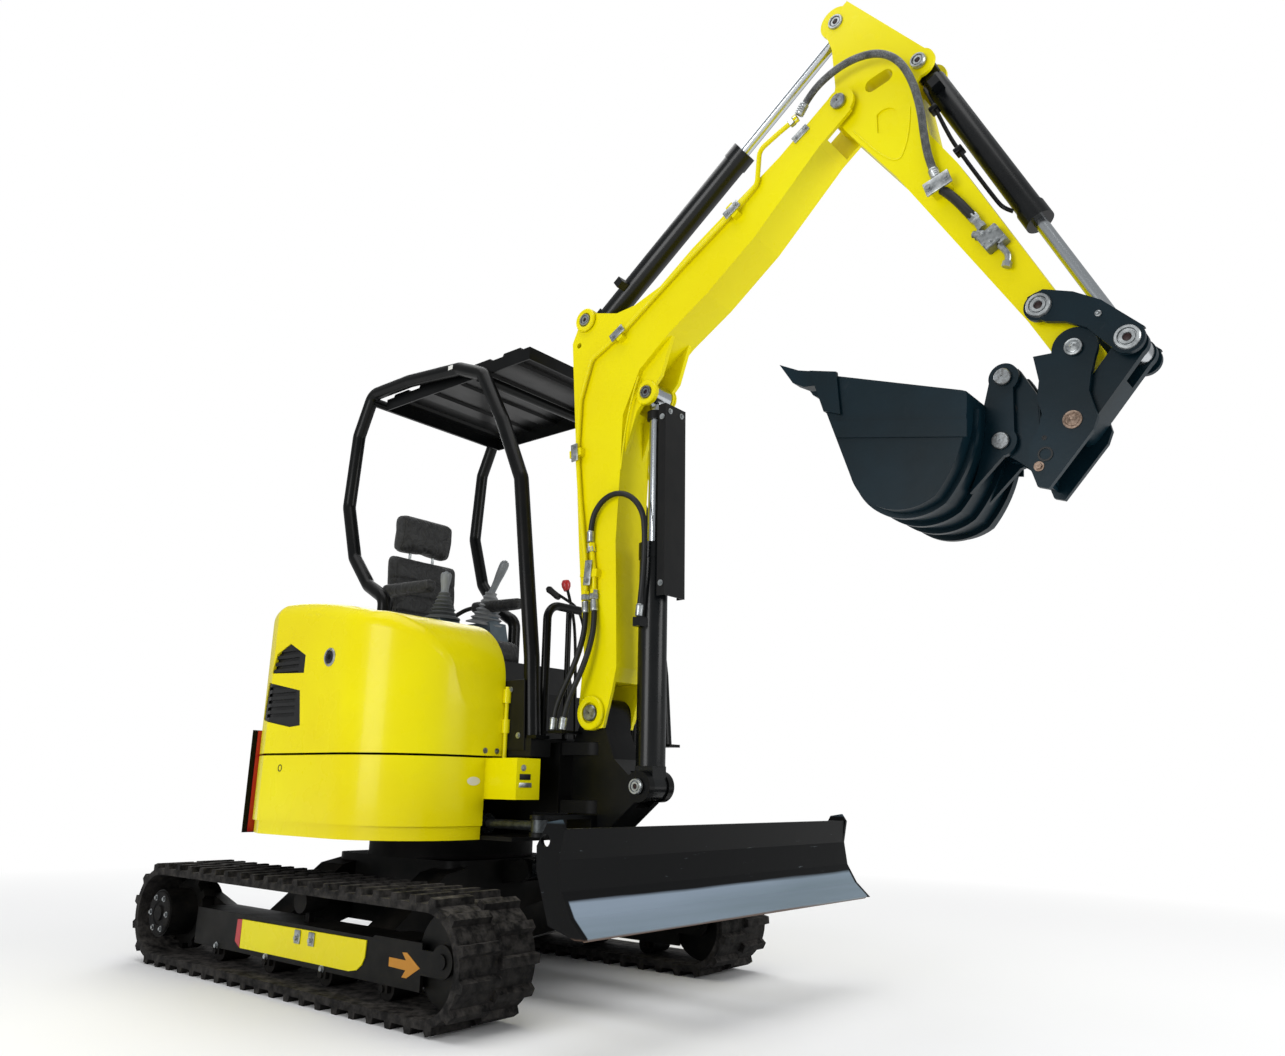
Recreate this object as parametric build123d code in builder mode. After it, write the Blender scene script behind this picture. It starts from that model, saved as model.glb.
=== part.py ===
"""Crawler excavator of about 3.5 tonnes, with an open canopy, a swing boom, a blade and a bucket.

Millimetres, +X to the front, +Y to the left, +Z up. The origin is on the ground under the slew axis.
The working gear lies in the plane Y = 0, and its pins are given there as (X, Z).
"""
import os
from math import cos, degrees, pi, radians, sin, tan

from build123d import *

os.makedirs("parts", exist_ok=True)

# Clearances
FIT = 0.3
PLATE_GAP = 1.0

# Tracks: a rubber belt round a rear sprocket and a front idler
TRACK_Y = 645.0
TRACK_WIDTH = 300.0
TRACK_RADIUS = 190.0
LUG_HEIGHT = 20.0
BELT_THICKNESS = 24.0
LUG_COUNT = 48
LUG_LENGTH = 46.0
SPROCKET_X = -825.0
IDLER_X = 835.0
AXLE_Z = TRACK_RADIUS
BELT_RADIUS = TRACK_RADIUS - LUG_HEIGHT
INNER_RADIUS = BELT_RADIUS - BELT_THICKNESS

# Track frames
FRAME_WIDTH = 146.0
FRAME_WALL = 12.0
FRAME_TOP_Z = 225.0
FRAME_LOW_Z = 94.0
FRAME_REAR_X = -640.0
FRAME_FRONT_X = 740.0
ROLLER_RADIUS = 38.0
ROLLER_X = (-470.0, -122.0, 226.0, 560.0)
ROLLER_Z = LUG_HEIGHT + BELT_THICKNESS + ROLLER_RADIUS + FIT
CARRIER_X = 30.0
CARRIER_RADIUS = 40.0
CARRIER_Z = 2 * AXLE_Z - LUG_HEIGHT - BELT_THICKNESS - CARRIER_RADIUS - FIT
DRIVE_RADIUS = 88.0

# Car body and slew ring
BODY_HALF = 300.0
BODY_LOW_Z = 185.0
BODY_TOP_Z = 430.0
RING_RADIUS = 330.0
DECK_Z = 515.0

# Blade, hinged to the car body
BLADE_PIVOT = (560.0, 200.0)
BLADE_HALF = 790.0
BLADE_ARM_Y = 235.0
BLADE_ARM_WIDTH = 60.0
BLADE_PLATE = 12.0
BLADE_FOOT = (470.0, 395.0)
BLADE_EYE = (1250.0, 500.0)

# House plan: a round tail, a flat right side and a rounded front corner
TAIL_RADIUS = 780.0
SIDE_Y = TAIL_RADIUS - 40
HOUSE_FRONT_X = 535.0
DECK_FRONT_X = 690.0
SKIRT_TOP_Z = 798.0
HOOD_GAP = 8.0
HOOD_WALL = 12.0
HOOD_INNER_Y = -235.0
COVER_GAP = 7.0
COVER_FRONT_X = 60.0
COVER_TOP_Z = 1110.0
SEAT_BASE_Z = 1240.0
FLOOR_Z = 870.0

CORNER_RADIUS = 330.0
PANEL_STEP_Z = 655.0
COUNTER_RADIUS = TAIL_RADIUS + 35
COUNTER_THICKNESS = 93.0
COUNTER_LOW_Z = 510.0
COUNTER_TOP_Z = 900.0

# Boom swing post
SWING_X = 800.0
SWING_LUG = 45.0
SWING_LOW_Z = 610.0
SWING_HIGH_Z = 860.0
SWING_PIN_RADIUS = 32.0
LUG_END_RADIUS = 75.0
SWING_EAR = (790.0, -283.0)
SWING_EAR_Z = 570.0
SWING_LEFT = 75.0
SWING_RIGHT = 55.0
SWING_CYL_FOOT = (-144.0, -283.0)
DECK_THICKNESS = 14.0

# Pins of the working gear, as (X, Z)
BOOM_FOOT = (835.0, 964.0)
BOOM_CYL_FOOT = (1045.0, 707.0)
BOOM_CYL_EYE = (1050.0, 2178.0)
ARM_CYL_FOOT = (745.0, 2562.0)
ARM_CYL_EYE = (1910.0, 3408.0)
ARM_PIVOT = (1926.0, 3042.0)
BUCKET_CYL_FOOT = (2213.0, 3078.0)
LINK_PIVOT = (2535.0, 2058.0)
ARM_TIP = (2613.0, 1912.0)
LINK_EYE = (2755.0, 1896.0)
COUPLER_EYE = (2590.0, 1704.0)
EAR_UPPER = (2412.0, 1875.0)
EAR_LOWER = (2392.0, 1683.0)

# Boom and arm sections
BOOM_HALF = 85.0
BOOM_PLATE = 14.0
ARM_HALF = 56.0
ARM_PLATE = 12.0
PIN_RADIUS = 22.0
HEAD_LENGTH = 12.0

# Canopy
CANOPY_RIGHT_Y = -190.0
CANOPY_LEFT_Y = 600.0
TUBE_RADIUS = 30.0
ROOF_LOW_Z = 2437.0
ROOF_DEPTH = 56.0
ROOF_REAR_X = -490.0
ROOF_FRONT_X = 490.0

# Bucket
BUCKET_HALF = 225.0
BUCKET_WALL = 12.0


def across(y):
    """Plane square to Y at the given place. Its normal points to -Y."""
    return Plane.XZ.offset(-y)


def pin_plane(start, end):
    """Plane at one pin, with its normal along the line to the other pin."""
    return Plane(origin=(start[0], 0, start[1]), x_dir=(0, 1, 0),
                 z_dir=(end[0] - start[0], 0, end[1] - start[1]))


def save(builder, label):
    builder.part.label = label
    export_step(builder.part, f"parts/{label}.step")


def hose(label, route, radius):
    """Hose along its route: straight runs joined by arcs as large as the runs allow."""
    points = [Vector(*point) for point in route]
    steps = [end - start for start, end in zip(points, points[1:])]
    bends = []
    for before, after in zip(steps, steps[1:]):
        turn = radians(before.get_angle(after))
        bends.append(0.45 * min(before.length, after.length) / tan(turn / 2))
    with BuildPart() as tube:
        with BuildLine() as path:
            FilletPolyline(*points, radius=bends)
        centreline = path.wire()
        with BuildSketch(Plane(origin=centreline @ 0, z_dir=centreline % 0)):
            Circle(radius)
        sweep(path=centreline)
    print(label, "length", round(centreline.length), "bends", [round(bend) for bend in bends],
          "volume ratio", round(tube.part.volume / (pi * radius ** 2 * centreline.length), 4))
    save(tube, label)


def belt_stations(count, phase):
    """Places round the belt, as (x, z, turn) with the turn of the outward normal from +Z."""
    straight = IDLER_X - SPROCKET_X
    loop = 2 * straight + 2 * pi * BELT_RADIUS
    stations = []
    for i in range(count):
        run = (i + phase) * loop / count
        if run < straight:
            stations.append((SPROCKET_X + run, AXLE_Z + BELT_RADIUS, 0.0))
            continue
        run -= straight
        if run < pi * BELT_RADIUS:
            turn = run / BELT_RADIUS
            stations.append((IDLER_X + BELT_RADIUS * sin(turn), AXLE_Z + BELT_RADIUS * cos(turn),
                             -degrees(turn)))
            continue
        run -= pi * BELT_RADIUS
        if run < straight:
            stations.append((IDLER_X - run, AXLE_Z - BELT_RADIUS, 180.0))
            continue
        turn = (run - straight) / BELT_RADIUS
        stations.append((SPROCKET_X - BELT_RADIUS * sin(turn), AXLE_Z - BELT_RADIUS * cos(turn),
                         180.0 - degrees(turn)))
    return stations


# Tracks: the inner and the outer half of each belt carry their lugs half a pitch apart
for side, name in ((-1, "track_right"), (1, "track_left")):
    centre = side * TRACK_Y
    with BuildPart() as track:
        with BuildSketch(across(centre)):
            with Locations(((SPROCKET_X + IDLER_X) / 2, AXLE_Z)):
                SlotCenterToCenter(IDLER_X - SPROCKET_X, 2 * BELT_RADIUS)
                SlotCenterToCenter(IDLER_X - SPROCKET_X, 2 * INNER_RADIUS, mode=Mode.SUBTRACT)
        extrude(amount=TRACK_WIDTH / 2, both=True)
        for half, phase in ((0, 0.0), (1, 0.5)):
            with BuildSketch(across(centre + (1 - half) * TRACK_WIDTH / 2)):
                for x, z, turn in belt_stations(LUG_COUNT, phase):
                    with Locations(Location((x, z), turn)):
                        Trapezoid(LUG_LENGTH, 2 * LUG_HEIGHT, 76)
            extrude(amount=TRACK_WIDTH / 2)
    save(track, name)

# Final drives: hub with a cover, and the toothed sprocket inside the belt
SPROCKET_TEETH = 11
SPROCKET_WIDTH = 44.0
with BuildPart() as final_drives:
    for side in (-1, 1):
        with BuildSketch(across(side * TRACK_Y)):
            with Locations((SPROCKET_X, AXLE_Z)):
                Circle(INNER_RADIUS - 24)
                with PolarLocations(INNER_RADIUS - 24, SPROCKET_TEETH):
                    Rectangle(40, 30)
            with Locations((SPROCKET_X, AXLE_Z)):
                Circle(INNER_RADIUS - FIT, mode=Mode.INTERSECT)
        extrude(amount=SPROCKET_WIDTH / 2, both=True)
        with BuildSketch(across(side * (TRACK_Y + 35))):
            with Locations((SPROCKET_X, AXLE_Z)):
                Circle(DRIVE_RADIUS)
        extrude(amount=95, both=True)
save(final_drives, "final_drives")

# Idlers: a flanged wheel on a shaft, carried by the frame's front arms
IDLER_HALF = 40.0
with BuildPart() as idlers:
    for side in (-1, 1):
        with BuildSketch(across(side * TRACK_Y)):
            with Locations((IDLER_X, AXLE_Z)):
                Circle(INNER_RADIUS - FIT)
        extrude(amount=IDLER_HALF, both=True)
        with BuildSketch(across(side * TRACK_Y)):
            with Locations((IDLER_X, AXLE_Z)):
                Circle(22)
        extrude(amount=FRAME_WIDTH / 2 + 6, both=True)
save(idlers, "idlers")

# Rollers: bottom rollers hang from the frame in end blocks, and a carrier roller holds the top run
with BuildPart() as rollers:
    for side in (-1, 1):
        for x in ROLLER_X:
            with BuildSketch(across(side * TRACK_Y)):
                with Locations((x, ROLLER_Z)):
                    Circle(ROLLER_RADIUS)
            extrude(amount=FRAME_WIDTH / 2 - FRAME_WALL - 4, both=True)
            with BuildSketch(across(side * TRACK_Y)):
                with Locations((x, ROLLER_Z)):
                    Circle(11)
            extrude(amount=FRAME_WIDTH / 2 + 8, both=True)
            for face in (-1, 1):
                with BuildSketch(across(side * TRACK_Y + face * (FRAME_WIDTH - FRAME_WALL) / 2)):
                    with Locations((x, ROLLER_Z)):
                        Rectangle(46, 2 * (FRAME_LOW_Z - ROLLER_Z - FIT))
                extrude(amount=FRAME_WALL / 2, both=True)
        with BuildSketch(across(side * (TRACK_Y + 10))):
            with Locations((CARRIER_X, CARRIER_Z)):
                Circle(CARRIER_RADIUS)
        extrude(amount=45, both=True)
        with BuildSketch(across(side * (TRACK_Y + 10))):
            with Locations((CARRIER_X, (CARRIER_Z + FRAME_TOP_Z + FIT) / 2)):
                Rectangle(24, CARRIER_Z - FRAME_TOP_Z - FIT)
        extrude(amount=10, both=True)
save(rollers, "rollers")

# Track frames: a box open below, a ring for the drive motor, and arms that hold the idler
DRIVE_RING_RADIUS = 112.0
for side, name in ((-1, "track_frame_right"), (1, "track_frame_left")):
    centre = side * TRACK_Y
    with BuildPart() as track_frame:
        with BuildSketch(across(centre)):
            with BuildLine():
                Polyline((FRAME_REAR_X, FRAME_LOW_Z), (FRAME_FRONT_X, FRAME_LOW_Z),
                         (FRAME_FRONT_X, FRAME_TOP_Z + 8), (500, FRAME_TOP_Z + 8), (490, FRAME_TOP_Z),
                         (FRAME_REAR_X, FRAME_TOP_Z), close=True)
            make_face()
        extrude(amount=FRAME_WIDTH / 2, both=True)
        with BuildSketch(across(centre)):
            with Locations(((FRAME_REAR_X + FRAME_FRONT_X) / 2, FRAME_LOW_Z)):
                Rectangle(FRAME_FRONT_X - FRAME_REAR_X - 40, 2 * (ROLLER_RADIUS + 8))
        extrude(amount=FRAME_WIDTH / 2 - FRAME_WALL, both=True, mode=Mode.SUBTRACT)
        with BuildSketch(across(centre)):
            with Locations((IDLER_X, AXLE_Z)):
                Circle(INNER_RADIUS + 8)
        extrude(amount=FRAME_WIDTH / 2 - FRAME_WALL, both=True, mode=Mode.SUBTRACT)
        for face in (-1, 1):
            with BuildSketch(across(centre + face * (FRAME_WIDTH - FRAME_WALL) / 2)):
                with Locations((IDLER_X, AXLE_Z)):
                    Circle(48)
                with Locations(((FRAME_FRONT_X + IDLER_X) / 2, AXLE_Z - 12)):
                    Rectangle(IDLER_X - FRAME_FRONT_X + 20, 72)
                with Locations((IDLER_X, AXLE_Z)):
                    Circle(22 + FIT, mode=Mode.SUBTRACT)
            extrude(amount=FRAME_WALL / 2, both=True)
        with BuildSketch(across(centre - side * 50)):
            with Locations((SPROCKET_X, AXLE_Z)):
                Circle(DRIVE_RING_RADIUS)
            with BuildLine():
                Polyline((SPROCKET_X, AXLE_Z - 96), (FRAME_REAR_X + 30, FRAME_LOW_Z),
                         (FRAME_REAR_X + 30, FRAME_TOP_Z), (SPROCKET_X, AXLE_Z + 96), close=True)
            make_face()
            with Locations((SPROCKET_X, AXLE_Z)):
                Circle(DRIVE_RADIUS + FIT, mode=Mode.SUBTRACT)
        extrude(amount=23, both=True)
    save(track_frame, name)

# Car body: a box under the slew ring with four legs to the track frames and the blade's lugs
LEG_X = (-300.0, 330.0)
LEG_WIDTH = 150.0
with BuildPart() as car_body:
    with BuildSketch(Plane.XY.offset(BODY_LOW_Z)):
        RectangleRounded(2 * BODY_HALF + 140, 2 * BODY_HALF, 60)
    extrude(amount=BODY_TOP_Z - BODY_LOW_Z)
    leg_foot_y = TRACK_Y - FRAME_WIDTH / 2
    for x in LEG_X:
        for side in (-1, 1):
            with BuildSketch(Plane.YZ.offset(x - LEG_WIDTH / 2)):
                with BuildLine():
                    Polyline((side * (BODY_HALF - 40), BODY_LOW_Z + 20), (side * leg_foot_y, 110),
                             (side * leg_foot_y, 222), (side * (BODY_HALF + 60), BODY_TOP_Z - 40),
                             (side * (BODY_HALF - 40), BODY_TOP_Z - 20), close=True)
                make_face()
            extrude(amount=LEG_WIDTH)
    for side in (-1, 1):
        for offset_y in (-1, 1):
            lug_y = side * BLADE_ARM_Y + offset_y * (BLADE_ARM_WIDTH / 2 + 12)
            with BuildSketch(across(lug_y)):
                with BuildLine():
                    Polyline((360, 190), (BLADE_PIVOT[0], 155), (BLADE_PIVOT[0], 245), (360, 330), close=True)
                make_face()
                with Locations(BLADE_PIVOT):
                    Circle(45)
            extrude(amount=10, both=True)
        with BuildSketch(across(side * BLADE_ARM_Y)):
            with Locations(BLADE_PIVOT):
                Circle(PIN_RADIUS)
        extrude(amount=BLADE_ARM_WIDTH / 2 + 24, both=True)
    for offset_y in (-1, 1):
        with BuildSketch(across(offset_y * 46)):
            with BuildLine():
                Polyline((360, 340), (BLADE_FOOT[0], BLADE_FOOT[1] - 40), (BLADE_FOOT[0], BLADE_FOOT[1] + 30),
                         (360, 428), close=True)
            make_face()
            with Locations(BLADE_FOOT):
                Circle(40)
        extrude(amount=10, both=True)
    with BuildSketch(across(0)):
        with Locations(BLADE_FOOT):
            Circle(PIN_RADIUS)
    extrude(amount=50, both=True)
save(car_body, "car_body")

with BuildPart() as slew_ring:
    with BuildSketch(Plane.XY.offset(BODY_TOP_Z + FIT)):
        Circle(RING_RADIUS)
        Circle(RING_RADIUS - 90, mode=Mode.SUBTRACT)
    extrude(amount=DECK_Z - BODY_TOP_Z - 2 * FIT)
save(slew_ring, "slew_ring")

# Blade: a curved mouldboard between two end plates, with a thicker cutting edge below
with BuildPart() as blade:
    with BuildSketch(across(BLADE_HALF - BLADE_PLATE)):
        with BuildLine():
            face = Polyline((1386, 592), (1375, 512), (1386, 432), (1423, 369), (1472, 324))
            Line(face @ 1, (1460, 314))
            Polyline((1460, 314), (1405, 362), (1366, 424), (1352, 512), (1360, 592), (1386, 592))
        make_face()
    extrude(amount=2 * (BLADE_HALF - BLADE_PLATE))
    for side in (-1, 1):
        with BuildSketch(across(side * (BLADE_HALF - BLADE_PLATE / 2))):
            with BuildLine():
                Polyline((1390, 590), (1375, 512), (1386, 432), (1423, 369), (1476, 320), (1440, 318),
                         (1341, 345), (1290, 480), (1287, 545), (1325, 608), (1372, 616), close=True)
            make_face()
            with Locations((1320, 560)):
                Circle(17, mode=Mode.SUBTRACT)
        extrude(amount=BLADE_PLATE / 2, both=True)
save(blade, "blade")

with BuildPart() as blade_arms:
    for side in (-1, 1):
        with BuildSketch(across(side * BLADE_ARM_Y)):
            with BuildLine():
                Polyline((BLADE_PIVOT[0], 155), (1180, 330), (1362, 420), (1352, 512), (1352, 540),
                         (1250, 520),
                         (1000, 400), (BLADE_PIVOT[0], 245), close=True)
            make_face()
            with Locations(BLADE_PIVOT):
                Circle(45)
                Circle(PIN_RADIUS + FIT, mode=Mode.SUBTRACT)
        extrude(amount=BLADE_ARM_WIDTH / 2, both=True)
    with BuildSketch(Plane.YZ.offset(1180)):
        with Locations((0, 430)):
            Rectangle(2 * BLADE_ARM_Y, 36)
    extrude(amount=40)
    for offset_y in (-1, 1):
        with BuildSketch(across(offset_y * 40)):
            with BuildLine():
                Polyline((1185, 460), (1358, 440), (1352, 512), (1353, 540), (1250, 540),
                         (1215, 500), close=True)
            make_face()
        extrude(amount=8, both=True)
save(blade_arms, "blade_arms")


def cylinder_barrel(label, foot, eye, length, radius, rod_radius, eye_radius, eye_half, port):
    """Barrel with its foot eye on the parent's pin, an oil port on its right side and a bore for the rod."""
    axis = pin_plane(foot, eye)
    start = eye_radius + 22
    with BuildPart() as barrel:
        with BuildSketch(axis):
            Rectangle(2 * eye_half, 1.7 * eye_radius)
        extrude(amount=start)
        with BuildSketch(axis.offset(start)):
            Circle(radius)
        extrude(amount=length - start)
        with BuildSketch(axis.offset(length - 60)):
            Circle(radius + 4)
        extrude(amount=60)
        with BuildSketch(axis.offset(port)):
            with Locations((-radius - 14, 0)):
                Rectangle(56, 34)
        extrude(amount=34)
        with BuildSketch(across(0)):
            with Locations(foot):
                Circle(eye_radius)
        extrude(amount=eye_half, both=True)
        with BuildSketch(across(0)):
            with Locations(foot):
                Circle(PIN_RADIUS + FIT)
        extrude(amount=2 * radius, both=True, mode=Mode.SUBTRACT)
        with BuildSketch(axis.offset(length)):
            Circle(rod_radius + FIT)
        extrude(amount=-(length - start - eye_radius), mode=Mode.SUBTRACT)
    save(barrel, label)


def cylinder_rod(label, foot, eye, reach, rod_radius, eye_radius, eye_half):
    """Rod with its eye boss. It reaches back into the barrel from the eye."""
    axis = pin_plane(eye, foot)
    with BuildPart() as rod:
        with BuildSketch(axis.offset(eye_radius * 0.5)):
            Circle(rod_radius)
        extrude(amount=reach - eye_radius * 0.5)
        with BuildSketch(across(0)):
            with Locations(eye):
                Circle(eye_radius)
        extrude(amount=eye_half, both=True)
    save(rod, label)


cylinder_barrel("blade_cylinder_barrel", BLADE_FOOT, BLADE_EYE, 560, 42, 20, 34, 34, 90)
cylinder_rod("blade_cylinder_rod", BLADE_FOOT, BLADE_EYE, 450, 20, 32, 30)


def house_plan(inset=0.0):
    """Plan of the house's right half out to its skin, moved inwards by the inset."""
    radius = TAIL_RADIUS - inset
    side_y = SIDE_Y - inset
    side_x = -(radius ** 2 - side_y ** 2) ** 0.5
    corner = CORNER_RADIUS - inset
    front_x = HOUSE_FRONT_X - inset
    with BuildSketch() as plan:
        with BuildLine():
            ThreePointArc((-radius, 0), (radius * cos(radians(215)), radius * sin(radians(215))),
                          (side_x, -side_y))
            Line((side_x, -side_y), (front_x - corner, -side_y))
            ThreePointArc((front_x - corner, -side_y),
                          (front_x - corner + corner * sin(pi / 4), -side_y + corner - corner * cos(pi / 4)),
                          (front_x, -side_y + corner))
            Polyline((front_x, -side_y + corner), (front_x, 0), (-radius, 0))
        make_face()
    return plan.sketch


# House frame: the deck over the slew ring, and the post that carries the boom's swing bracket
DECK_INSET = TAIL_RADIUS - COUNTER_RADIUS + COUNTER_THICKNESS + FIT
POST_HALF = 95.0
STEP_BOX_Y = (205.0, 320.0)
with BuildPart() as house_frame:
    with BuildSketch(Plane.XY.offset(DECK_Z)):
        add(house_plan(DECK_INSET))
        mirror(about=Plane.XZ)
        with Locations((DECK_FRONT_X, 0)):
            Rectangle(DECK_FRONT_X - 300, 2 * STEP_BOX_Y[1], align=(Align.MAX, Align.CENTER))
    extrude(amount=DECK_THICKNESS)
    with BuildSketch(across(0)):
        with BuildLine():
            Polyline((310, DECK_Z), (560, DECK_Z), (560, SWING_LOW_Z), (DECK_FRONT_X, SWING_LOW_Z),
                     (DECK_FRONT_X, SWING_HIGH_Z), (310, SWING_HIGH_Z), close=True)
        make_face()
    extrude(amount=POST_HALF, both=True)
    for low in (SWING_LOW_Z, SWING_HIGH_Z - SWING_LUG):
        with BuildSketch(Plane.XY.offset(low)):
            with BuildLine():
                Polyline((600, -POST_HALF), (SWING_X, -LUG_END_RADIUS), (SWING_X, LUG_END_RADIUS),
                         (600, POST_HALF), close=True)
            make_face()
            with Locations((SWING_X, 0)):
                Circle(LUG_END_RADIUS)
        extrude(amount=SWING_LUG)
    with BuildSketch(Plane.XY.offset(SWING_LOW_Z - 60)):
        with Locations((SWING_X, 0)):
            Circle(SWING_PIN_RADIUS)
    extrude(amount=SWING_HIGH_Z - SWING_LOW_Z + 72)
    for low in (DECK_Z + DECK_THICKNESS, SWING_EAR_Z + 42):
        with BuildSketch(Plane.XY.offset(low)):
            with Locations(SWING_CYL_FOOT):
                Rectangle(80, 70)
        extrude(amount=SWING_EAR_Z - 22 - DECK_Z - DECK_THICKNESS if low < SWING_EAR_Z else 10)
    with BuildSketch(Plane.XY.offset(DECK_Z)):
        with Locations(SWING_CYL_FOOT):
            Circle(PIN_RADIUS)
    extrude(amount=110)
save(house_frame, "house_frame")

# Hood hinge: an upright pin on the right tool box, at the hood's front inner corner
HOOD_HINGE = (HOUSE_FRONT_X + 10, HOOD_INNER_Y - 4)
HINGE_PIN_RADIUS = 8.0
HINGE_TOP_Z = 1060.0
KNUCKLE_Z = (890.0, 1000.0)
KNUCKLE_HEIGHT = 50.0

# Lower panels: the skirt round both sides of the deck, and the tool boxes at its front
PANEL_REAR_X = -0.55 * TAIL_RADIUS
PANEL_CREASE_Z = 562.0
with BuildPart() as lower_panels:
    for low, high, inset in ((DECK_Z, PANEL_CREASE_Z, 9), (PANEL_CREASE_Z, SKIRT_TOP_Z, 0)):
        with BuildSketch(Plane.XY.offset(low)):
            add(house_plan(inset))
            mirror(about=Plane.XZ)
            add(house_plan(inset + HOOD_WALL), mode=Mode.SUBTRACT)
            add(mirror(house_plan(inset + HOOD_WALL), about=Plane.XZ, mode=Mode.PRIVATE), mode=Mode.SUBTRACT)
            with Locations((PANEL_REAR_X, 0)):
                Rectangle(2 * TAIL_RADIUS, 2 * TAIL_RADIUS, align=(Align.MAX, Align.CENTER),
                          mode=Mode.SUBTRACT)
            Rectangle(2 * TAIL_RADIUS, 2 * STEP_BOX_Y[1], mode=Mode.SUBTRACT)
        extrude(amount=high - low)
    for side in (-1, 1):
        with BuildSketch(Plane.XY.offset(PANEL_STEP_Z)):
            with Locations((HOUSE_FRONT_X - HOOD_WALL, side * sum(STEP_BOX_Y) / 2)):
                Rectangle(DECK_FRONT_X + 10 - HOUSE_FRONT_X + HOOD_WALL, STEP_BOX_Y[1] - STEP_BOX_Y[0],
                          align=(Align.MIN, Align.CENTER))
        extrude(amount=SKIRT_TOP_Z - PANEL_STEP_Z)
    with BuildSketch(Plane.XY.offset(SKIRT_TOP_Z - HOOD_WALL)):
        with Locations(HOOD_HINGE):
            Circle(HINGE_PIN_RADIUS)
    extrude(amount=HINGE_TOP_Z - SKIRT_TOP_Z + HOOD_WALL)
save(lower_panels, "lower_panels")

# Counterweight: a thick round casting across the tail, with a thinner lip outside the covers
with BuildPart() as counterweight:
    for low, high, inner in ((COUNTER_LOW_Z, SKIRT_TOP_Z, COUNTER_RADIUS - COUNTER_THICKNESS),
                             (SKIRT_TOP_Z, COUNTER_TOP_Z, TAIL_RADIUS + 4)):
        with BuildSketch(Plane.XY.offset(low)):
            Circle(COUNTER_RADIUS)
            Circle(inner, mode=Mode.SUBTRACT)
            with Locations((PANEL_REAR_X - 6, 0)):
                Rectangle(4 * TAIL_RADIUS, 4 * TAIL_RADIUS, align=(Align.MIN, Align.CENTER),
                          mode=Mode.SUBTRACT)
        extrude(amount=high - low)
save(counterweight, "counterweight")

# Hood: the right cover, a crowned shell hinged at its front inner edge, with two louvred vents at its rear
CROWN_RADIUS = 60.0


def hood_solid(inset):
    """Hood's block: its sides from the house plan, its crown from the side profile, rounded between them."""
    with BuildPart() as block:
        with BuildSketch(Plane.XY.offset(SKIRT_TOP_Z + HOOD_GAP - (1 if inset else 0))):
            add(house_plan(inset))
            with Locations((0, HOOD_INNER_Y)):
                Rectangle(4 * TAIL_RADIUS, TAIL_RADIUS, align=(Align.CENTER, Align.MIN), mode=Mode.SUBTRACT)
        extrude(amount=700)
        with BuildSketch(across(0)):
            with BuildLine():
                crown = ThreePointArc((-900, 1310 - inset), (-280, 1386 - inset), (290, 1312 - inset))
                nose = ThreePointArc(crown @ 1, (470, 1235 - inset), (HOUSE_FRONT_X - 8 - inset, 1090))
                Polyline(nose @ 1, (HOUSE_FRONT_X + 20, 700), (-900, 700), crown @ 0)
            make_face()
        extrude(amount=900, mode=Mode.INTERSECT)
        rim = block.edges().filter_by(lambda e: e.center().Z > 1150 and e.center().Y < HOOD_INNER_Y - 5)
        fillet(rim, CROWN_RADIUS - 2.5 * inset)
    return block.part


VENTS = (((-252, 1108), (-228, 1182), (-140, 1216), (-30, 1165), (-30, 1098)),
         ((-292, 1078), (-45, 1034), (-22, 905), (-90, 900), (-345, 938)))
LOUVRE_PITCH = 26.0
with BuildPart() as hood:
    add(hood_solid(0))
    add(hood_solid(HOOD_WALL), mode=Mode.SUBTRACT)
    for outline in VENTS:
        with BuildSketch(across(-SIDE_Y / 2)):
            with BuildLine():
                Polyline(*outline, close=True)
            make_face()
        extrude(amount=SIDE_Y, mode=Mode.SUBTRACT)
    for low in KNUCKLE_Z:
        with BuildSketch(Plane.XY.offset(low)):
            with Locations(HOOD_HINGE):
                Circle(HINGE_PIN_RADIUS + 7)
        extrude(amount=KNUCKLE_HEIGHT)
        with BuildSketch(Plane.XY.offset(low)):
            with Locations(HOOD_HINGE):
                Circle(HINGE_PIN_RADIUS + FIT)
        extrude(amount=KNUCKLE_HEIGHT, mode=Mode.SUBTRACT)
save(hood, "hood")

with BuildPart() as hood_vents:
    add(hood_solid(4))
    add(hood_solid(HOOD_WALL), mode=Mode.SUBTRACT)
    with BuildSketch(across(-SIDE_Y / 2)):
        for outline in VENTS:
            with BuildLine():
                Polyline(*outline, close=True)
            make_face()
        offset(amount=-FIT)
    extrude(amount=SIDE_Y, mode=Mode.INTERSECT)
    with BuildSketch(across(-SIDE_Y / 2)):
        with GridLocations(0, LOUVRE_PITCH, 1, 10):
            with Locations((-180, 1064)):
                Rectangle(210, LOUVRE_PITCH / 2)
    extrude(amount=SIDE_Y, mode=Mode.SUBTRACT)
save(hood_vents, "hood_vents")

# Engine block, inside the counterweight and the hood
ENGINE_LENGTH = 380.0
ENGINE_REAR_X = -(TAIL_RADIUS - 190)
ENGINE_WIDTH = 2 * (SIDE_Y - 450)
with BuildPart() as engine:
    with BuildSketch(Plane.XY.offset(DECK_Z + DECK_THICKNESS)):
        with Locations((ENGINE_REAR_X, -60)):
            Rectangle(ENGINE_LENGTH, ENGINE_WIDTH, align=(Align.MIN, Align.CENTER))
    extrude(amount=520)
save(engine, "engine")

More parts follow.
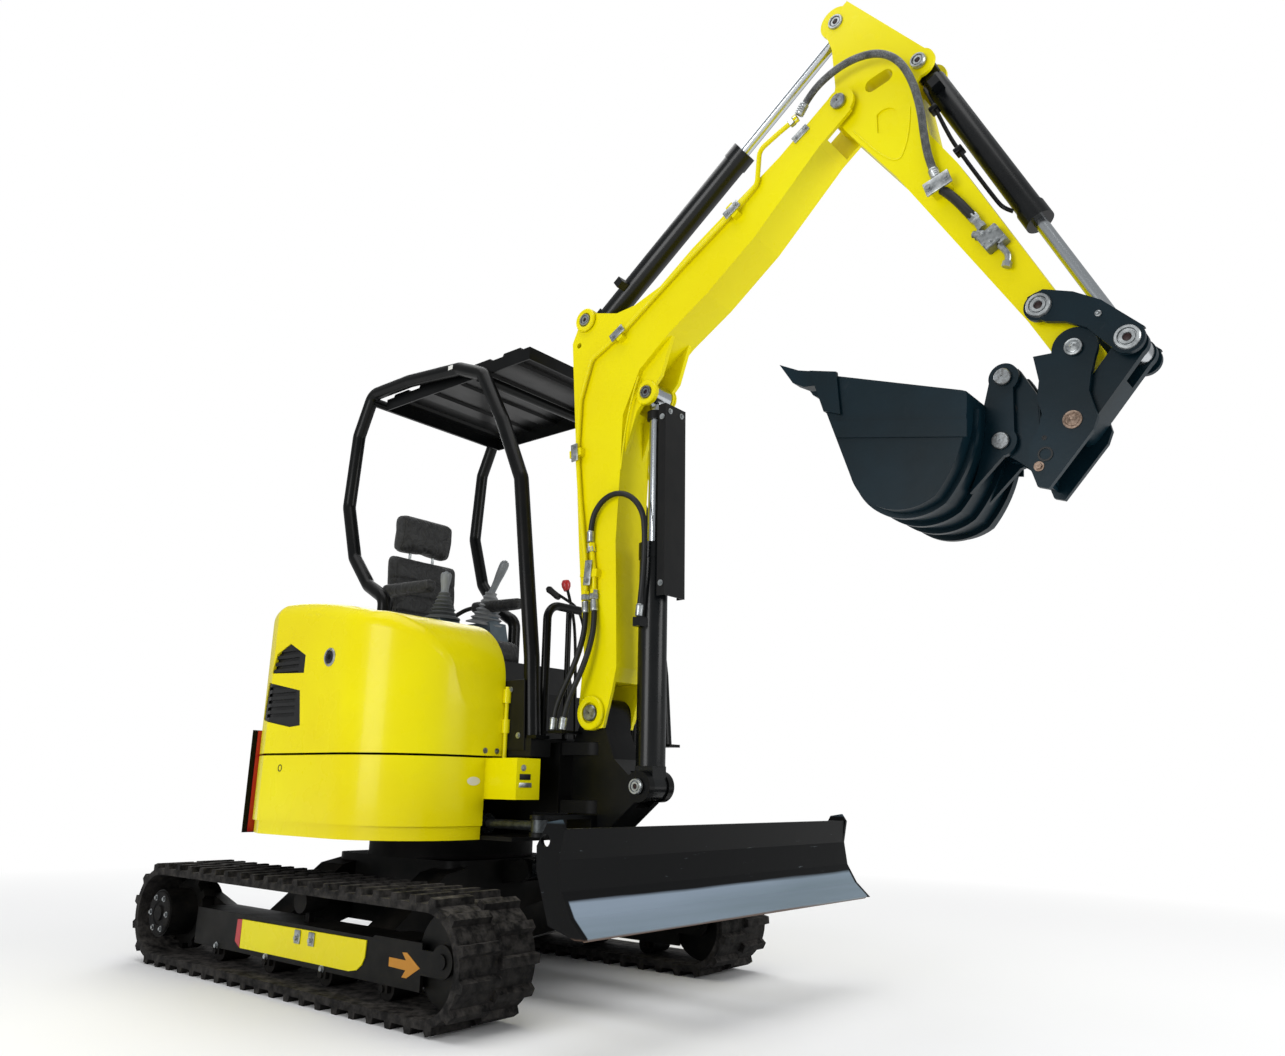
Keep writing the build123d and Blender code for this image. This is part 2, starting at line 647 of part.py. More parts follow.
# Rear cover: the fixed round shell from the hood to the left side, with the shelf that the seat stands on
COVER_RIGHT_Y = HOOD_INNER_Y + COVER_GAP
with BuildPart() as rear_cover:
    for inset, mode in ((0, Mode.ADD), (HOOD_WALL, Mode.SUBTRACT)):
        with BuildSketch(Plane.XY.offset(SKIRT_TOP_Z + HOOD_GAP - inset)):
            add(house_plan(inset))
            add(mirror(house_plan(inset), about=Plane.XZ, mode=Mode.PRIVATE))
            with Locations((0, COVER_RIGHT_Y)):
                Rectangle(4 * TAIL_RADIUS, 2 * TAIL_RADIUS, align=(Align.CENTER, Align.MAX),
                          mode=Mode.SUBTRACT)
            with Locations((COVER_FRONT_X - inset, 0)):
                Rectangle(2 * TAIL_RADIUS, 2 * TAIL_RADIUS, align=(Align.MIN, Align.CENTER),
                          mode=Mode.SUBTRACT)
        extrude(amount=COVER_TOP_Z - SKIRT_TOP_Z - HOOD_GAP, mode=mode)
    outer = rear_cover.edges().filter_by(lambda e: e.center().Z > COVER_TOP_Z - 1 and e.center().X < -200)
    fillet(outer.sort_by(lambda e: e.length)[-1:], 40)
save(rear_cover, "rear_cover")

with BuildPart() as seat_base:
    with BuildSketch(across(640)):
        with BuildLine():
            Polyline((-600, COVER_TOP_Z), (-560, SEAT_BASE_Z), (20, SEAT_BASE_Z),
                     (COVER_FRONT_X, COVER_TOP_Z),
                     close=True)
        make_face()
    extrude(amount=640 - COVER_RIGHT_Y)
save(seat_base, "seat_base")

# Floor: a chequer plate with its rim turned down to the skirt
with BuildPart() as floor:
    with BuildSketch(Plane.XY.offset(SKIRT_TOP_Z + HOOD_GAP)) as floor_plan:
        with BuildLine():
            Polyline((COVER_FRONT_X + 1, COVER_RIGHT_Y), (DECK_FRONT_X - 20, COVER_RIGHT_Y),
                     (DECK_FRONT_X - 20, 540),
                     (540, 700), (COVER_FRONT_X + 1, 700), close=True)
        make_face()
    extrude(amount=FLOOR_Z - SKIRT_TOP_Z - HOOD_GAP)
    with BuildSketch(Plane.XY.offset(SKIRT_TOP_Z)):
        add(floor_plan.sketch)
        offset(amount=-HOOD_WALL)
    extrude(amount=SWING_HIGH_Z - SKIRT_TOP_Z, mode=Mode.SUBTRACT)
    with BuildSketch(Plane.XY.offset(SKIRT_TOP_Z)):
        with Locations((DECK_FRONT_X - 20, 0)):
            Rectangle(2 * HOOD_WALL, 2 * POST_HALF + 60)
    extrude(amount=SWING_HIGH_Z - SKIRT_TOP_Z, mode=Mode.SUBTRACT)
save(floor, "floor")

# Canopy: two bent hoops joined across the roof, and a roof sheet with pressed channels
HOOP = ((-334, SEAT_BASE_Z), (-334, 1500), (-462, 1571), (-591, 1717), (-676, 1976), (-648, 2330),
        (-560, 2525),
        (-280, 2525), (80, 2490), (240, 2423), (381, 2178), (510, 1901), (616, 1173), (637, FLOOR_Z + 8))
with BuildPart() as canopy_frame:
    for y in (CANOPY_RIGHT_Y, CANOPY_LEFT_Y):
        with BuildLine(across(y)) as hoop:
            FilletPolyline(*HOOP, radius=60)
        with BuildSketch(Plane(origin=hoop.line @ 0, z_dir=hoop.line % 0)):
            Circle(TUBE_RADIUS)
        sweep(path=hoop.line)
    for place in ((-560, 2490), (215, ROOF_LOW_Z - 22)):
        with BuildSketch(across(CANOPY_LEFT_Y)):
            with Locations(place):
                Circle(22)
        extrude(amount=CANOPY_LEFT_Y - CANOPY_RIGHT_Y)
    for y in (CANOPY_RIGHT_Y, CANOPY_LEFT_Y):
        with BuildSketch(Plane.XY.offset(FLOOR_Z)):
            with Locations((637, y)):
                Rectangle(110, 70)
        extrude(amount=12)
save(canopy_frame, "canopy_frame")

CHANNEL_PITCH = 190.0
with BuildPart() as canopy_roof:
    roof_y = CANOPY_LEFT_Y - TUBE_RADIUS - PLATE_GAP
    roof_width = CANOPY_LEFT_Y - CANOPY_RIGHT_Y - 2 * TUBE_RADIUS - 2 * PLATE_GAP
    with BuildSketch(across(roof_y)):
        with Locations(((ROOF_REAR_X + ROOF_FRONT_X) / 2, ROOF_LOW_Z + ROOF_DEPTH / 2)):
            Rectangle(ROOF_FRONT_X - ROOF_REAR_X, ROOF_DEPTH)
        with GridLocations(CHANNEL_PITCH, 0, 5, 1):
            with Locations((0, ROOF_LOW_Z + ROOF_DEPTH)):
                Trapezoid(130, 24, 60)
    extrude(amount=roof_width)
    with BuildSketch(across(roof_y - 6)):
        with Locations(((ROOF_REAR_X + ROOF_FRONT_X) / 2, ROOF_LOW_Z + ROOF_DEPTH / 2 - 4)):
            Rectangle(ROOF_FRONT_X - ROOF_REAR_X - 12, ROOF_DEPTH)
        with GridLocations(CHANNEL_PITCH, 0, 5, 1):
            with Locations((0, ROOF_LOW_Z + ROOF_DEPTH - 4)):
                Trapezoid(130, 24, 60)
    extrude(amount=roof_width - 12, mode=Mode.SUBTRACT)
save(canopy_roof, "canopy_roof")

# Seat
SEAT_Y = 205.0
with BuildPart() as seat_cushion:
    with BuildSketch(Plane.XY.offset(SEAT_BASE_Z)):
        with Locations((-290, SEAT_Y)):
            RectangleRounded(460, 440, 60)
    extrude(amount=115)
save(seat_cushion, "seat_cushion")
with BuildPart() as seat_back:
    with BuildSketch(across(SEAT_Y)):
        with BuildLine():
            Polyline((-600, SEAT_BASE_Z), (-522, SEAT_BASE_Z), (-565, 1790), (-640, 1790), close=True)
        make_face()
    extrude(amount=205, both=True)
    with BuildSketch(across(SEAT_Y)):
        with BuildLine():
            Polyline((-655, 1800), (-575, 1800), (-560, 1975), (-640, 1975), close=True)
        make_face()
    extrude(amount=140, both=True)
    for offset_y in (-70, 70):
        with BuildSketch(Plane.XY.offset(1760)):
            with Locations((-610, SEAT_Y + offset_y)):
                Circle(8)
        extrude(amount=80)
save(seat_back, "seat_back")

CONSOLE_Y = (-95.0, 490.0)
CONSOLE_TOP_Z = (1390.0, 1480.0)
JOYSTICK_X = (-45.0, -400.0)
with BuildPart() as consoles:
    for y, rear, front, top in zip(CONSOLE_Y, (-330, -560), (40, -300), CONSOLE_TOP_Z):
        with BuildSketch(across(y)):
            with BuildLine():
                Polyline((rear, SEAT_BASE_Z), (rear, top), (front - 40, top), (front, 1330),
                         (front - 30, SEAT_BASE_Z), close=True)
            make_face()
        extrude(amount=55, both=True)
    for x, y, top in zip(JOYSTICK_X, CONSOLE_Y, CONSOLE_TOP_Z):
        with BuildSketch(Plane.XY.offset(top)):
            with Locations((x, y)):
                Circle(52)
        extrude(amount=100, taper=16)
        with BuildSketch(Plane.XY.offset(top + 90)):
            with Locations((x, y)):
                Circle(14)
        extrude(amount=70)
save(consoles, "consoles")

# Travel levers on their plate, and the bar in front of the driver
with BuildPart() as front_controls:
    for side in (-1, 1):
        with BuildSketch(Plane.XY.offset(FLOOR_Z)):
            with Locations((480, SEAT_Y + side * 60)):
                Circle(12)
        extrude(amount=560)
        with BuildSketch(Plane.XY.offset(FLOOR_Z)):
            with Locations((480, SEAT_Y + side * 60)):
                Rectangle(90, 70)
        extrude(amount=16)
    with BuildLine(Plane.YZ.offset(560)) as bar:
        FilletPolyline((-60, FLOOR_Z), (-60, 1400), (480, 1400), (480, FLOOR_Z), radius=60)
    with BuildSketch(Plane(origin=bar.line @ 0, z_dir=bar.line % 0)):
        Circle(17)
    sweep(path=bar.line)
save(front_controls, "front_controls")

# Swing bracket: the casting that turns on the post and carries the boom and its cylinder
BRACKET_HALF = BOOM_HALF - BOOM_PLATE - PLATE_GAP
EYE_GAP = 40.0
HOSE_PLATE_Z = 900.0
ARM_LOW_Z = SWING_EAR_Z - 22
with BuildPart() as swing_bracket:
    with BuildSketch(across(0)):
        with BuildLine():
            Polyline((SWING_X - 66, ARM_LOW_Z), (900, ARM_LOW_Z), (BOOM_CYL_FOOT[0] - 10, 655),
                     (BOOM_CYL_FOOT[0] - 42, 745), (935, 800), (892, 900), (892, 960), (780, 960),
                     (SWING_X - 66, SWING_HIGH_Z + 2), close=True)
        make_face()
        with Locations(BOOM_FOOT):
            Circle(56)
        with Locations(BOOM_CYL_FOOT):
            Circle(54)
    extrude(amount=BRACKET_HALF, both=True)
    for z, height in ((SWING_HIGH_Z - SWING_LUG - PLATE_GAP, SWING_LUG + 2 * PLATE_GAP),
                      (SWING_LOW_Z - PLATE_GAP, SWING_LUG + 2 * PLATE_GAP)):
        with BuildSketch(Plane.XY.offset(z)):
            with Locations((SWING_X - 100, 0)):
                Rectangle(200, 400)
            with Locations((SWING_X, 0)):
                Circle(LUG_END_RADIUS + 9)
            for turn in (SWING_RIGHT, -SWING_LEFT):
                with Locations(Location((SWING_X, 0), turn)):
                    Rectangle(240, 2 * LUG_END_RADIUS + 26, align=(Align.MAX, Align.CENTER))
        extrude(amount=height, mode=Mode.SUBTRACT)
    with BuildSketch(Plane.XY.offset(ARM_LOW_Z - 1)):
        with Locations((SWING_X, 0)):
            Circle(SWING_PIN_RADIUS + FIT)
    extrude(amount=SWING_HIGH_Z - ARM_LOW_Z + 14, mode=Mode.SUBTRACT)
    with BuildSketch(across(0)):
        with Locations(BOOM_CYL_FOOT):
            Circle(80)
            with Locations((0, 0)):
                Rectangle(300, 160, align=(Align.MIN, Align.MIN))
    extrude(amount=EYE_GAP, both=True, mode=Mode.SUBTRACT)
    for low in (SWING_EAR_Z - 36, SWING_EAR_Z + 22):
        with BuildSketch(Plane.XY.offset(low)):
            with BuildLine():
                Polyline((SWING_X + 60, -20), (SWING_X + 60, -BRACKET_HALF),
                         (SWING_EAR[0] + 38, SWING_EAR[1]),
                         (SWING_EAR[0] - 38, SWING_EAR[1]), (SWING_X - 60, -BRACKET_HALF),
                         (SWING_X - 60, -20),
                         close=True)
            make_face()
            with Locations(SWING_EAR):
                Circle(38)
            with Locations((SWING_X, 0)):
                Circle(SWING_PIN_RADIUS + FIT, mode=Mode.SUBTRACT)
        extrude(amount=14)
    with BuildSketch(Plane.XY.offset(SWING_EAR_Z - 22)):
        with Locations((SWING_X, 0)):
            Circle(66)
            Circle(SWING_PIN_RADIUS + FIT, mode=Mode.SUBTRACT)
        with Locations((SWING_X, -70)):
            Rectangle(120, 60)
    extrude(amount=44)
    with BuildSketch(Plane.XY.offset(HOSE_PLATE_Z)):
        with BuildLine():
            Polyline((745, -60), (772, -60), (768, -168), (677, -168), (677, -130), close=True)
        make_face()
    extrude(amount=-10)
    with BuildSketch(across(0)):
        with Locations(BOOM_CYL_FOOT):
            Circle(PIN_RADIUS)
    extrude(amount=BRACKET_HALF + 10, both=True)
    with BuildSketch(across(0)):
        with Locations(BOOM_FOOT):
            Circle(PIN_RADIUS)
    extrude(amount=BOOM_HALF + 10, both=True)
save(swing_bracket, "swing_bracket")

# Swing cylinder: it lies on the deck at the right, and turns the bracket by its ear
with BuildPart() as swing_cylinder_barrel:
    with BuildSketch(Plane.YZ.offset(SWING_CYL_FOOT[0] + 60)):
        with Locations((SWING_EAR[1], SWING_EAR_Z)):
            Circle(36)
            Circle(16 + FIT, mode=Mode.SUBTRACT)
    extrude(amount=610)
    with BuildSketch(Plane.YZ.offset(SWING_CYL_FOOT[0])):
        with Locations((SWING_EAR[1], SWING_EAR_Z)):
            Rectangle(56, 40)
    extrude(amount=62)
    with BuildSketch(Plane.XY.offset(SWING_EAR_Z - 21)):
        with Locations(SWING_CYL_FOOT):
            Circle(34)
    extrude(amount=42)
    with BuildSketch(Plane.XY.offset(SWING_EAR_Z - 50)):
        with Locations(SWING_CYL_FOOT):
            Circle(PIN_RADIUS + FIT)
    extrude(amount=100, mode=Mode.SUBTRACT)
save(swing_cylinder_barrel, "swing_cylinder_barrel")
with BuildPart() as swing_cylinder_rod:
    with BuildSketch(Plane.YZ.offset(SWING_EAR[0] - 640)):
        with Locations((SWING_EAR[1], SWING_EAR_Z)):
            Circle(16)
    extrude(amount=640)
    with BuildSketch(Plane.XY.offset(SWING_EAR_Z - 21)):
        with Locations(SWING_EAR):
            Circle(32)
    extrude(amount=42)
save(swing_cylinder_rod, "swing_cylinder_rod")

# Boom: a box forked at the foot, at the arm cylinder's foot and at the tip
BOOM_OUTLINE = ((770, 1000), (786, 1183), (742, 1600), (690, 2220), (668, 2480), (720, 2590), (800, 2580),
                (908, 2546),
                (1000, 2552), (1128, 2592), (1285, 2701), (1680, 2931), (1895, 3085), (1965, 3080),
                (1968, 2995),
                (1844, 2905), (1566, 2646), (1349, 2486), (1170, 2378), (1032, 2269), (952, 2100),
                (945, 1880),
                (930, 1602), (940, 1372), (948, 1126), (928, 1040), (890, 910), (800, 905))
LIFTING_HOLE = (706, 2462)
with BuildPart() as boom:
    with BuildSketch(across(0)):
        with BuildLine():
            Polyline(*BOOM_OUTLINE, close=True)
        make_face()
        for centre, radius in ((BOOM_FOOT, 62), (ARM_PIVOT, 55), (ARM_CYL_FOOT, 50)):
            with Locations(centre):
                Circle(radius)
    extrude(amount=BOOM_HALF, both=True)
    with BuildSketch(across(0)):
        with Locations(LIFTING_HOLE):
            Circle(12)
    extrude(amount=BOOM_HALF, both=True, mode=Mode.SUBTRACT)
    with BuildSketch(across(0)):
        with Locations(BOOM_FOOT):
            Rectangle(400, 220)
    extrude(amount=BOOM_HALF - BOOM_PLATE, both=True, mode=Mode.SUBTRACT)
    with BuildSketch(across(0)):
        with Locations(Location(ARM_PIVOT, 35)):
            Rectangle(230, 400)
    extrude(amount=BOOM_HALF - BOOM_PLATE, both=True, mode=Mode.SUBTRACT)
    with BuildSketch(across(0)):
        with Locations(ARM_CYL_FOOT):
            Rectangle(200, 150)
        with BuildLine():
            Polyline((640, 2490), (860, 2560), (1300, 2860), (1000, 2900), (700, 2700), close=True)
        make_face()
    extrude(amount=BOOM_HALF - 30, both=True, mode=Mode.SUBTRACT)
    for side in (-1, 1):
        with BuildSketch(across(side * 54)):
            with BuildLine():
                Polyline((930, 1900), (1005, 2110), (1120, 2230), (1180, 2400), (1000, 2350),
                         (930, 2100), close=True)
            make_face()
            with Locations(BOOM_CYL_EYE):
                Circle(48)
        extrude(amount=9, both=True)
    with BuildSketch(across(0)):
        with Locations(BOOM_FOOT):
            Circle(PIN_RADIUS + FIT)
    extrude(amount=BOOM_HALF + 5, both=True, mode=Mode.SUBTRACT)
    with BuildSketch(across(0)):
        with Locations(ARM_CYL_FOOT, ARM_PIVOT):
            Circle(PIN_RADIUS)
    extrude(amount=BOOM_HALF + 10, both=True)
    with BuildSketch(across(0)):
        with Locations(BOOM_CYL_EYE):
            Circle(100)
    extrude(amount=45, both=True, mode=Mode.SUBTRACT)
save(boom, "boom")

# Boom lines: steel oil pipes held by clamps on the boom's right plate, up to the loop behind its tip
PIPE_RADIUS = 9.0
NUT_RADIUS = 15.0
NUT_LENGTH = 34.0
PIPE_Y = -BOOM_HALF - PIPE_RADIUS - 4
LONG_PIPE = ((798, 1385), (800, 1490), (752, 1790), (728, 1990), (736, 2210), (790, 2372), (950, 2446),
             (1237, 2628),
             (1496, 2781), (1590, 2850), (1603, 2985), (1690, 3022), (1765, 3049))
SHORT_PIPE = ((841, 1388), (838, 1490), (818, 1603))
CLAMPS = (((819, 1486), 84, 85), ((728, 1984), 60, 95), ((936, 2440), 60, 30), ((1486, 2776), 60, 31))
with BuildPart() as boom_lines:
    for stops, bend in ((LONG_PIPE, 40), (SHORT_PIPE, 150)):
        with BuildLine() as run:
            FilletPolyline(*[(x, PIPE_Y, z) for x, z in stops], radius=bend)
        with BuildSketch(Plane(origin=run.line @ 0, z_dir=run.line % 0)):
            Circle(PIPE_RADIUS)
        sweep(path=run.line)
        for end, inward in ((0, 1), (1, -1)):
            with BuildSketch(Plane(origin=run.line @ end, z_dir=(run.line % end) * inward)):
                RegularPolygon(NUT_RADIUS, 6)
            extrude(amount=NUT_LENGTH)
    for centre, width, turn in CLAMPS:
        with BuildSketch(across(-BOOM_HALF)):
            with Locations(Location(centre, turn - 90)):
                Rectangle(width, 30)
        extrude(amount=2 * PIPE_RADIUS + 8)
save(boom_lines, "boom_lines")

# Hoses: braided rubber, each by its stops as (X, Y, Z)
JOINT_HOSE = ((1770, -98, 3055), (1816, -104, 3107), (1885, -112, 3144), (1985, -119, 3163),
              (2090, -120, 3143),
              (2165, -118, 3078), (2208, -112, 2975), (2226, -104, 2862), (2228, -95, 2760),
              (2236, -86, 2668),
              (2258, -84, 2593))
ARCH_HOSE = ((815, -98, 1607), (815, -101, 1688), (865, -108, 1756), (945, -112, 1782), (1025, -108, 1756),
             (1075, -99, 1687), (1077, -90, 1600), (1071, -85, 1500), (1059, -82, 1400), (1047, -82, 1302))
FEED_HOSES = (((798, -98, 1380), (811, -107, 1292), (802, -122, 1202), (772, -134, 1115), (734, -144, 1040),
               (706, -149, 968), (700, -150, 902.5)),
              ((841, -98, 1383), (857, -108, 1297), (851, -122, 1207), (824, -134, 1119), (786, -144, 1040),
               (757, -149, 966), (748, -150, 902.5)))
hose("joint_hose", JOINT_HOSE, 13.0)
hose("arch_hose", ARCH_HOSE, 11.0)
for route, name in zip(FEED_HOSES, ("feed_hose_rear", "feed_hose_front")):
    hose(name, route, 11.0)

# Rod guard: a folded channel in front of the boom cylinder, held by a collar on its rod
GUARD_X = 1112.0
GUARD_DEPTH = 34.0
GUARD_HALF = 62.0
GUARD_LOW_Z = 1375.0
GUARD_TOP_Z = 2112.0
COLLAR_DEPTH = 32.0
ROD_RADIUS = 25.0
with BuildPart() as rod_guard:
    with BuildSketch(Plane.XY.offset(GUARD_LOW_Z)):
        with Locations((GUARD_X, 0)):
            Rectangle(GUARD_DEPTH, 2 * GUARD_HALF, align=(Align.MIN, Align.CENTER))
            Rectangle(GUARD_DEPTH - 5, 2 * GUARD_HALF - 10, align=(Align.MIN, Align.CENTER),
                      mode=Mode.SUBTRACT)
    extrude(amount=GUARD_TOP_Z - GUARD_LOW_Z)
    with BuildSketch(Plane.XY.offset(GUARD_TOP_Z - COLLAR_DEPTH)):
        with Locations((BOOM_CYL_EYE[0], 0)):
            Rectangle(GUARD_X + GUARD_DEPTH - BOOM_CYL_EYE[0] - 2, 34, align=(Align.MIN, Align.CENTER))
            Circle(ROD_RADIUS + 10)
    extrude(amount=COLLAR_DEPTH)
    with BuildSketch(pin_plane(BOOM_CYL_EYE, BOOM_CYL_FOOT)):
        Circle(ROD_RADIUS + FIT)
    extrude(amount=2 * (BOOM_CYL_EYE[1] - GUARD_TOP_Z + COLLAR_DEPTH), mode=Mode.SUBTRACT)
save(rod_guard, "rod_guard")

cylinder_barrel("boom_cylinder_barrel", BOOM_CYL_FOOT, BOOM_CYL_EYE, 880, 53, ROD_RADIUS, 48, 38, 559)
cylinder_rod("boom_cylinder_rod", BOOM_CYL_FOOT, BOOM_CYL_EYE, 850, ROD_RADIUS, 44, 42)
cylinder_barrel("arm_cylinder_barrel", ARM_CYL_FOOT, ARM_CYL_EYE, 900, 46, 22, 42, 40, 190)
cylinder_rod("arm_cylinder_rod", ARM_CYL_FOOT, ARM_CYL_EYE, 865, 22, 40, 38)
cylinder_barrel("bucket_cylinder_barrel", BUCKET_CYL_FOOT, LINK_EYE, 770, 40, 20, 38, 30, 110)
cylinder_rod("bucket_cylinder_rod", BUCKET_CYL_FOOT, LINK_EYE, 720, 20, 38, 28)

# Arm
ARM_WINDOW = (2064.0, 3082.0)
ARM_RECESS = (2080.0, 2914.0)
ARM_CLAMP = (2264.3, 2569.5)
ARM_OUTLINE = ((1857, 3407), (1890, 3300), (1898, 3138), (1880, 3042), (1931, 2940), (2109, 2683),
               (2488, 2041),
               (2560, 1900), (2660, 1935), (2576, 2104), (2317, 2646), (2232, 2790), (2200, 3010),
               (2262, 3090),
               (1958, 3474))
with BuildPart() as arm:
    with BuildSketch(across(0)):
        with BuildLine():
            Polyline(*ARM_OUTLINE, close=True)
        make_face()
        for centre, radius in ((ARM_CYL_EYE, 62), (ARM_PIVOT, 62), (BUCKET_CYL_FOOT, 52), (ARM_TIP, 56)):
            with Locations(centre):
                Circle(radius)
    extrude(amount=ARM_HALF, both=True)
    with BuildSketch(across(0)):
        with Locations(ARM_CYL_EYE):
            Circle(155)
        with Locations(BUCKET_CYL_FOOT):
            Circle(118)
    extrude(amount=ARM_HALF - ARM_PLATE, both=True, mode=Mode.SUBTRACT)
    with BuildSketch(across(0)):
        for centre in (ARM_PIVOT, ARM_TIP):
            with Locations(centre):
                Circle(PIN_RADIUS + FIT)
        with Locations(Location(ARM_WINDOW, 12)):
            SlotOverall(104, 52)
    extrude(amount=ARM_HALF + 1, both=True, mode=Mode.SUBTRACT)
    for face in (-1, 1):
        with BuildSketch(across(face * ARM_HALF)):
            with Locations(ARM_RECESS):
                Circle(46)
                with Locations((-60, 0)):
                    Rectangle(60, 100, mode=Mode.SUBTRACT)
        extrude(amount=6, both=True, mode=Mode.SUBTRACT)
    with BuildSketch(across(-ARM_HALF)):
        with Locations(Location(ARM_CLAMP, 16)):
            Rectangle(62, 46)
    extrude(amount=44)
    with BuildSketch(across(0)):
        with Locations(BUCKET_CYL_FOOT, LINK_PIVOT):
            Circle(PIN_RADIUS)
    extrude(amount=ARM_HALF + HEAD_LENGTH, both=True)
    with BuildSketch(across(0)):
        with Locations(LINK_PIVOT):
            Circle(PIN_RADIUS)
    extrude(amount=ARM_HALF + 48, both=True)
save(arm, "arm")

# Side links
LINK_PLATE_Y = 92.0
with BuildPart() as side_links:
    for side in (-1, 1):
        with BuildSketch(across(side * LINK_PLATE_Y)):
            with BuildLine():
                Polyline((2500, 2040), (2505, 2095), (2550, 2106), (2630, 2073), (2700, 2025),
                         (2800, 1915), (2720, 1870),
                         (2656, 1955), (2600, 1990), (2550, 2005), close=True)
            make_face()
            with Locations(LINK_PIVOT, LINK_EYE):
                Circle(44)
            with Locations(LINK_PIVOT):
                Circle(PIN_RADIUS + FIT, mode=Mode.SUBTRACT)
        extrude(amount=8, both=True)
        with BuildSketch(across(side * 66)):
            with Locations(LINK_EYE):
                Circle(PIN_RADIUS)
        extrude(amount=34, both=True)
save(side_links, "side_links")

# Push link: it joins the side links' pin to the coupler
PUSH_HALF = 56.0
ROD_GAP = 31.0
with BuildPart() as push_link:
    with BuildSketch(across(0)):
        with BuildLine():
            Polyline((2788, 1872), (2624, 1682), (2562, 1730), (2722, 1918), close=True)
        make_face()
        with Locations(LINK_EYE):
            Circle(42)
        with Locations(COUPLER_EYE):
            Circle(40)
    extrude(amount=PUSH_HALF, both=True)
    with BuildSketch(across(0)):
        with Locations(LINK_EYE):
            Circle(100)
    extrude(amount=ROD_GAP, both=True, mode=Mode.SUBTRACT)
    with BuildSketch(across(0)):
        with Locations(LINK_EYE):
            Circle(PIN_RADIUS + FIT)
    extrude(amount=90, both=True, mode=Mode.SUBTRACT)
save(push_link, "push_link")

# Quick coupler
with BuildPart() as coupler:
    for side in (-1, 1):
        with BuildSketch(across(side * 71)):
            with BuildLine():
                Polyline((2500, 1917), (2510, 1840), (2501, 1790), (2510, 1740), (2500, 1706), (2466, 1652),
                         (2462, 1600), (2481, 1531), (2510, 1520), (2640, 1664), (2655, 1700), (2640, 1779),
                         (2650, 1828), (2675, 1906), close=True)
            make_face()
            with Locations(ARM_TIP):
                Circle(62)
        extrude(amount=9, both=True)
    with BuildSketch(across(0)):
        with Locations(ARM_TIP):
            Circle(PIN_RADIUS)
    extrude(amount=90, both=True)
    with BuildSketch(across(0)):
        with BuildLine():
            Polyline((2452, 1760), (2496, 1775), (2496, 1545), (2475, 1560), (2440, 1625),
                     (2440, 1700), close=True)
        make_face()
    extrude(amount=62, both=True)
    for side in (-1, 1):
        with BuildSketch(across(side * 46)):
            with BuildLine():
                Polyline((2412, 1907), (2450, 1900), (2500, 1800), (2500, 1560), (2392, 1652),
                         (2392, 1714), (2440, 1780),
                         (2412, 1844), close=True)
            make_face()
            with Locations(EAR_UPPER, EAR_LOWER):
                Circle(32)
                Circle(PIN_RADIUS + FIT, mode=Mode.SUBTRACT)
        extrude(amount=14, both=True)
save(coupler, "coupler")

# Bucket
with BuildPart() as bucket:
    with BuildSketch(across(0)):
        with BuildLine():
            front = Line((1862, 1985), (1985, 1618))
            bottom = ThreePointArc(front @ 1, (2115, 1492), (2245, 1512))
            back = ThreePointArc(bottom @ 1, (2325, 1640), (2354, 1800))
            Polyline(back @ 1, (2342, 1806), (1862, 1985))
        make_face()
    extrude(amount=BUCKET_HALF, both=True)
    with BuildSketch(across(0)):
        with BuildLine():
            front = Line((1845, 2060), (1999, 1624))
            bottom = ThreePointArc(front @ 1, (2119, 1506), (2237, 1525))
            back = ThreePointArc(bottom @ 1, (2312, 1645), (2340, 1800))
            Polyline(back @ 1, (2340, 1900), (1845, 2060))
        make_face()
    extrude(amount=BUCKET_HALF - BUCKET_WALL, both=True, mode=Mode.SUBTRACT)
    for side in (-1, 1):
        with BuildSketch(across(side * 72)):
            with BuildLine():
                Polyline((2346, 1790), (2380, 1905), (2440, 1905), (2430, 1700), (2400, 1645), (2290, 1545),
                         (2318, 1610), (2342, 1700), close=True)
            make_face()
            with Locations(EAR_UPPER, EAR_LOWER):
                Circle(44)
        extrude(amount=9, both=True)
    with BuildSketch(across(0)):
        with Locations(EAR_UPPER, EAR_LOWER):
            Circle(PIN_RADIUS)
    extrude(amount=88, both=True)
    for y in (-195, -65, 65, 195):
        with BuildSketch(across(y)):
            with BuildLine():
                Polyline((1862, 1994), (1886, 1940), (1830, 1948), (1790, 1972), (1742, 2048),
                         (1812, 2010), close=True)
            make_face()
        extrude(amount=24, both=True)
    with BuildSketch(across(0)):
        with BuildLine():
            Polyline((1857, 1989), (1868, 1993), (1916, 1850), (1901, 1846), close=True)
        make_face()
    extrude(amount=BUCKET_HALF, both=True)
    for side in (-1, 1):
        with BuildSketch(across(side * (BUCKET_HALF + 5))):
            with BuildLine():
                Polyline((1862, 1990), (1955, 1962), (1964, 1819), (1909, 1842), (1889, 1903), close=True)
            make_face()
        extrude(amount=6, both=True)
        with BuildSketch(across(side * (BUCKET_HALF + 2))):
            with BuildLine():
                Polyline((1926, 1806), (2352, 1716), (2348, 1664), (1946, 1748), close=True)
            make_face()
        extrude(amount=4, both=True)
    for y in (-165, -55, 55, 165):
        with BuildSketch(across(y)):
            with BuildLine():
                belly = ThreePointArc((1972, 1612), (2112, 1478), (2253, 1500))
                heel = ThreePointArc(belly @ 1, (2340, 1634), (2367, 1760))
                Polyline(heel @ 1, (2350, 1762))
                inner = ThreePointArc((2350, 1762), (2325, 1640), (2244, 1514))
                lining = ThreePointArc(inner @ 1, (2115, 1494), (1986, 1620))
                Line(lining @ 1, belly @ 0)
            make_face()
        extrude(amount=9, both=True)
save(bucket, "bucket")
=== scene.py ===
"""Looks of a compact crawler excavator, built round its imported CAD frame.

Metres, +X to the machine's front, +Y to its left, +Z up, the origin on the ground under the slew axis.
"""
import math

import bmesh
import bpy
from mathutils import Matrix, Vector
from mathutils.bvhtree import BVHTree


